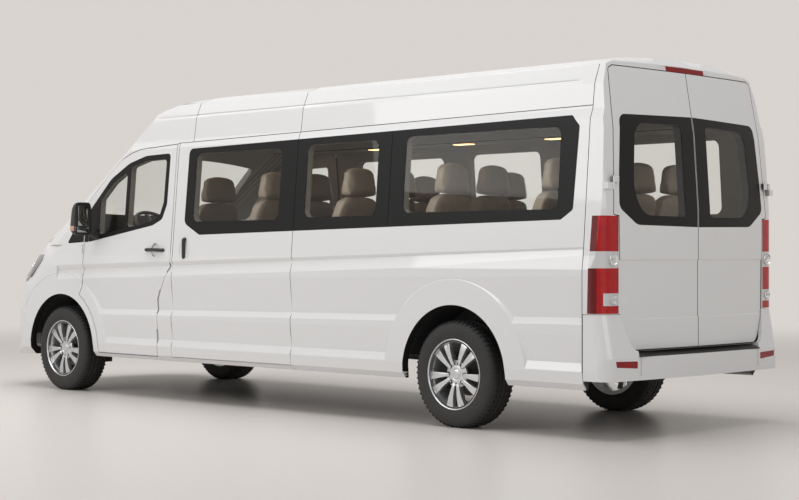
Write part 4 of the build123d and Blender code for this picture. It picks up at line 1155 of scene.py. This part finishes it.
def foldRearDoors():
    # a band across the outer skin of each tail door, pressed inwards
    low, high, ramp = foldSettings["low"], foldSettings["high"], foldSettings["ramp"]
    for side in sides:
        name = f"rear_door_{side}"
        door = partOf(name, f"tailDoor_{side}")
        editMode()
        for height in (low - ramp, low, high, high + ramp):
            selectMesh()
            bpy.ops.mesh.bisect(plane_co=(0, 0, height), plane_no=(0, 0, 1))
        selectMesh("DESELECT")
        objectMode()
        outer = {index for face in door.data.polygons for index in face.vertices
                 if face.normal.x < -0.9 and abs(face.center.y) < 0.862}
        for vertex in door.data.vertices:
            if vertex.index in outer and low - 0.0005 < vertex.co.z < high + 0.0005:
                vertex.co.x += foldSettings["depth"]
        smooth(door, 10)
        applyModifier(door, "WEIGHTED_NORMAL", weight=100, keep_sharp=True)
        finishPiece(door, f"tail_door_{side}", None, "body_paint", name)


foldRearDoors()
print("tail doors folded")


ridgeSettings = {"z": 2.262, "half": 0.008, "depth": 0.008, "rear": -0.95, "front": 3.32, "fade": 0.05}


def pressRidge(skin):
    # the shallow line pressed along each side of the roof
    rear, front, fade = (ridgeSettings[key] for key in ("rear", "front", "fade"))
    cuts = [((0, 0, ridgeSettings["z"] + step * ridgeSettings["half"]), (0, 0, 1)) for step in (-1, 0, 1)]
    cuts += [((x - rearAxle, 0, 0), (1, 0, 0)) for x in (rear - fade, rear, front, front + fade)]
    pick(skin)
    editMode()
    for spot, way in cuts:
        selectMesh()
        bpy.ops.mesh.bisect(plane_co=spot, plane_no=way)
    objectMode()
    for spot in corners(skin):
        if abs(spot.z - ridgeSettings["z"]) < 0.0005 and abs(spot.y) > halfWidth(spot.z) - 0.006:
            if rear - 0.001 < spot.x + rearAxle < front + 0.001:
                spot.y -= math.copysign(ridgeSettings["depth"], spot.y)


def evenSkin():
    # curved panels keep their shape, with one shared normal at each corner of the mesh
    for name, body in (("bonnet", "bonnet_lid"), ("roof", "body")):
        skin = partOf(name, f"even_{name}")
        if name == "roof":
            pressRidge(skin)
        smooth(skin, 20)
        if name == "roof":
            applyModifier(skin, "WEIGHTED_NORMAL", weight=100, keep_sharp=True)
        finishPiece(skin, body, None, "body_paint", name)


flareSettings = {"radius": 0.652, "bead": 0.0065, "sink": 0.0026, "from": 32, "to": 118, "points": 30}


def fitFlares():
    # the raised edge of the flare above each front wheel
    for side, hand in sides.items():
        points = []
        for number in range(flareSettings["points"]):
            swing = (flareSettings["to"] - flareSettings["from"]) * number / (flareSettings["points"] - 1)
            angle = math.radians(flareSettings["from"] + swing)
            x = axleX["front"] + flareSettings["radius"] * math.cos(angle)
            z = wheelSpot["z"] + flareSettings["radius"] * math.sin(angle)
            found = skinHit("front_wings", (x, hand * 1.3, z), (0, -hand, 0))
            if found and abs(found[0].y) > 0.85:
                points.append(tuple(found[0] - found[1] * flareSettings["sink"]))
        if len(points) > 4:
            bead = addTube(f"archFlare_{side}", points, flareSettings["bead"])
            finishPiece(bead, "body", "paint", "body_paint")


fitFlares()
evenSkin()
print("skins evened")


setStage()
setWorld()


def addFloor():
    # the floor fades into the backdrop with distance
    clearSelection()
    bpy.ops.mesh.primitive_circle_add(vertices=96, radius=150, fill_type="NGON", location=(0, 0, 0))
    floor = bpy.context.object
    floor.name = "studioFloor"
    material, shader, tree = newMaterial("studioFloor", Base_Color=stageSettings["floor"], Roughness=0.35,
                                         Specular_IOR_Level=0.35)
    coords = node(tree, "ShaderNodeTexCoord")
    reach = node(tree, "ShaderNodeVectorMath", operation="LENGTH")
    fade = node(tree, "ShaderNodeMapRange", interpolation_type="SMOOTHSTEP",
                From_Min=stageSettings["near"], From_Max=stageSettings["far"])
    glow = node(tree, "ShaderNodeEmission", Color=(*stageSettings["backdrop"], 1))
    mix = node(tree, "ShaderNodeMixShader")
    out = tree.nodes["Material Output"]
    wire(tree, (coords, "Object", reach, 0), (reach, "Value", fade, "Value"), (fade, 0, mix, 0),
         (shader, 0, mix, 1), (glow, 0, mix, 2), (mix, 0, out, "Surface"))
    floor.data.materials.append(material)


addFloor()
addSoftbox("topSoftbox", (0.5, 1.0, 9.0), (0, 0, 0), (11, 7), 700)
addSoftbox("sideSoftbox", (4.0, 11.0, 6.5), (0, 0, 1), (9, 6), 420)
addSoftbox("rearSoftbox", (-12.0, 2.5, 5.0), (-3, 0, 1), (6, 5), 150)

print("scene complete")
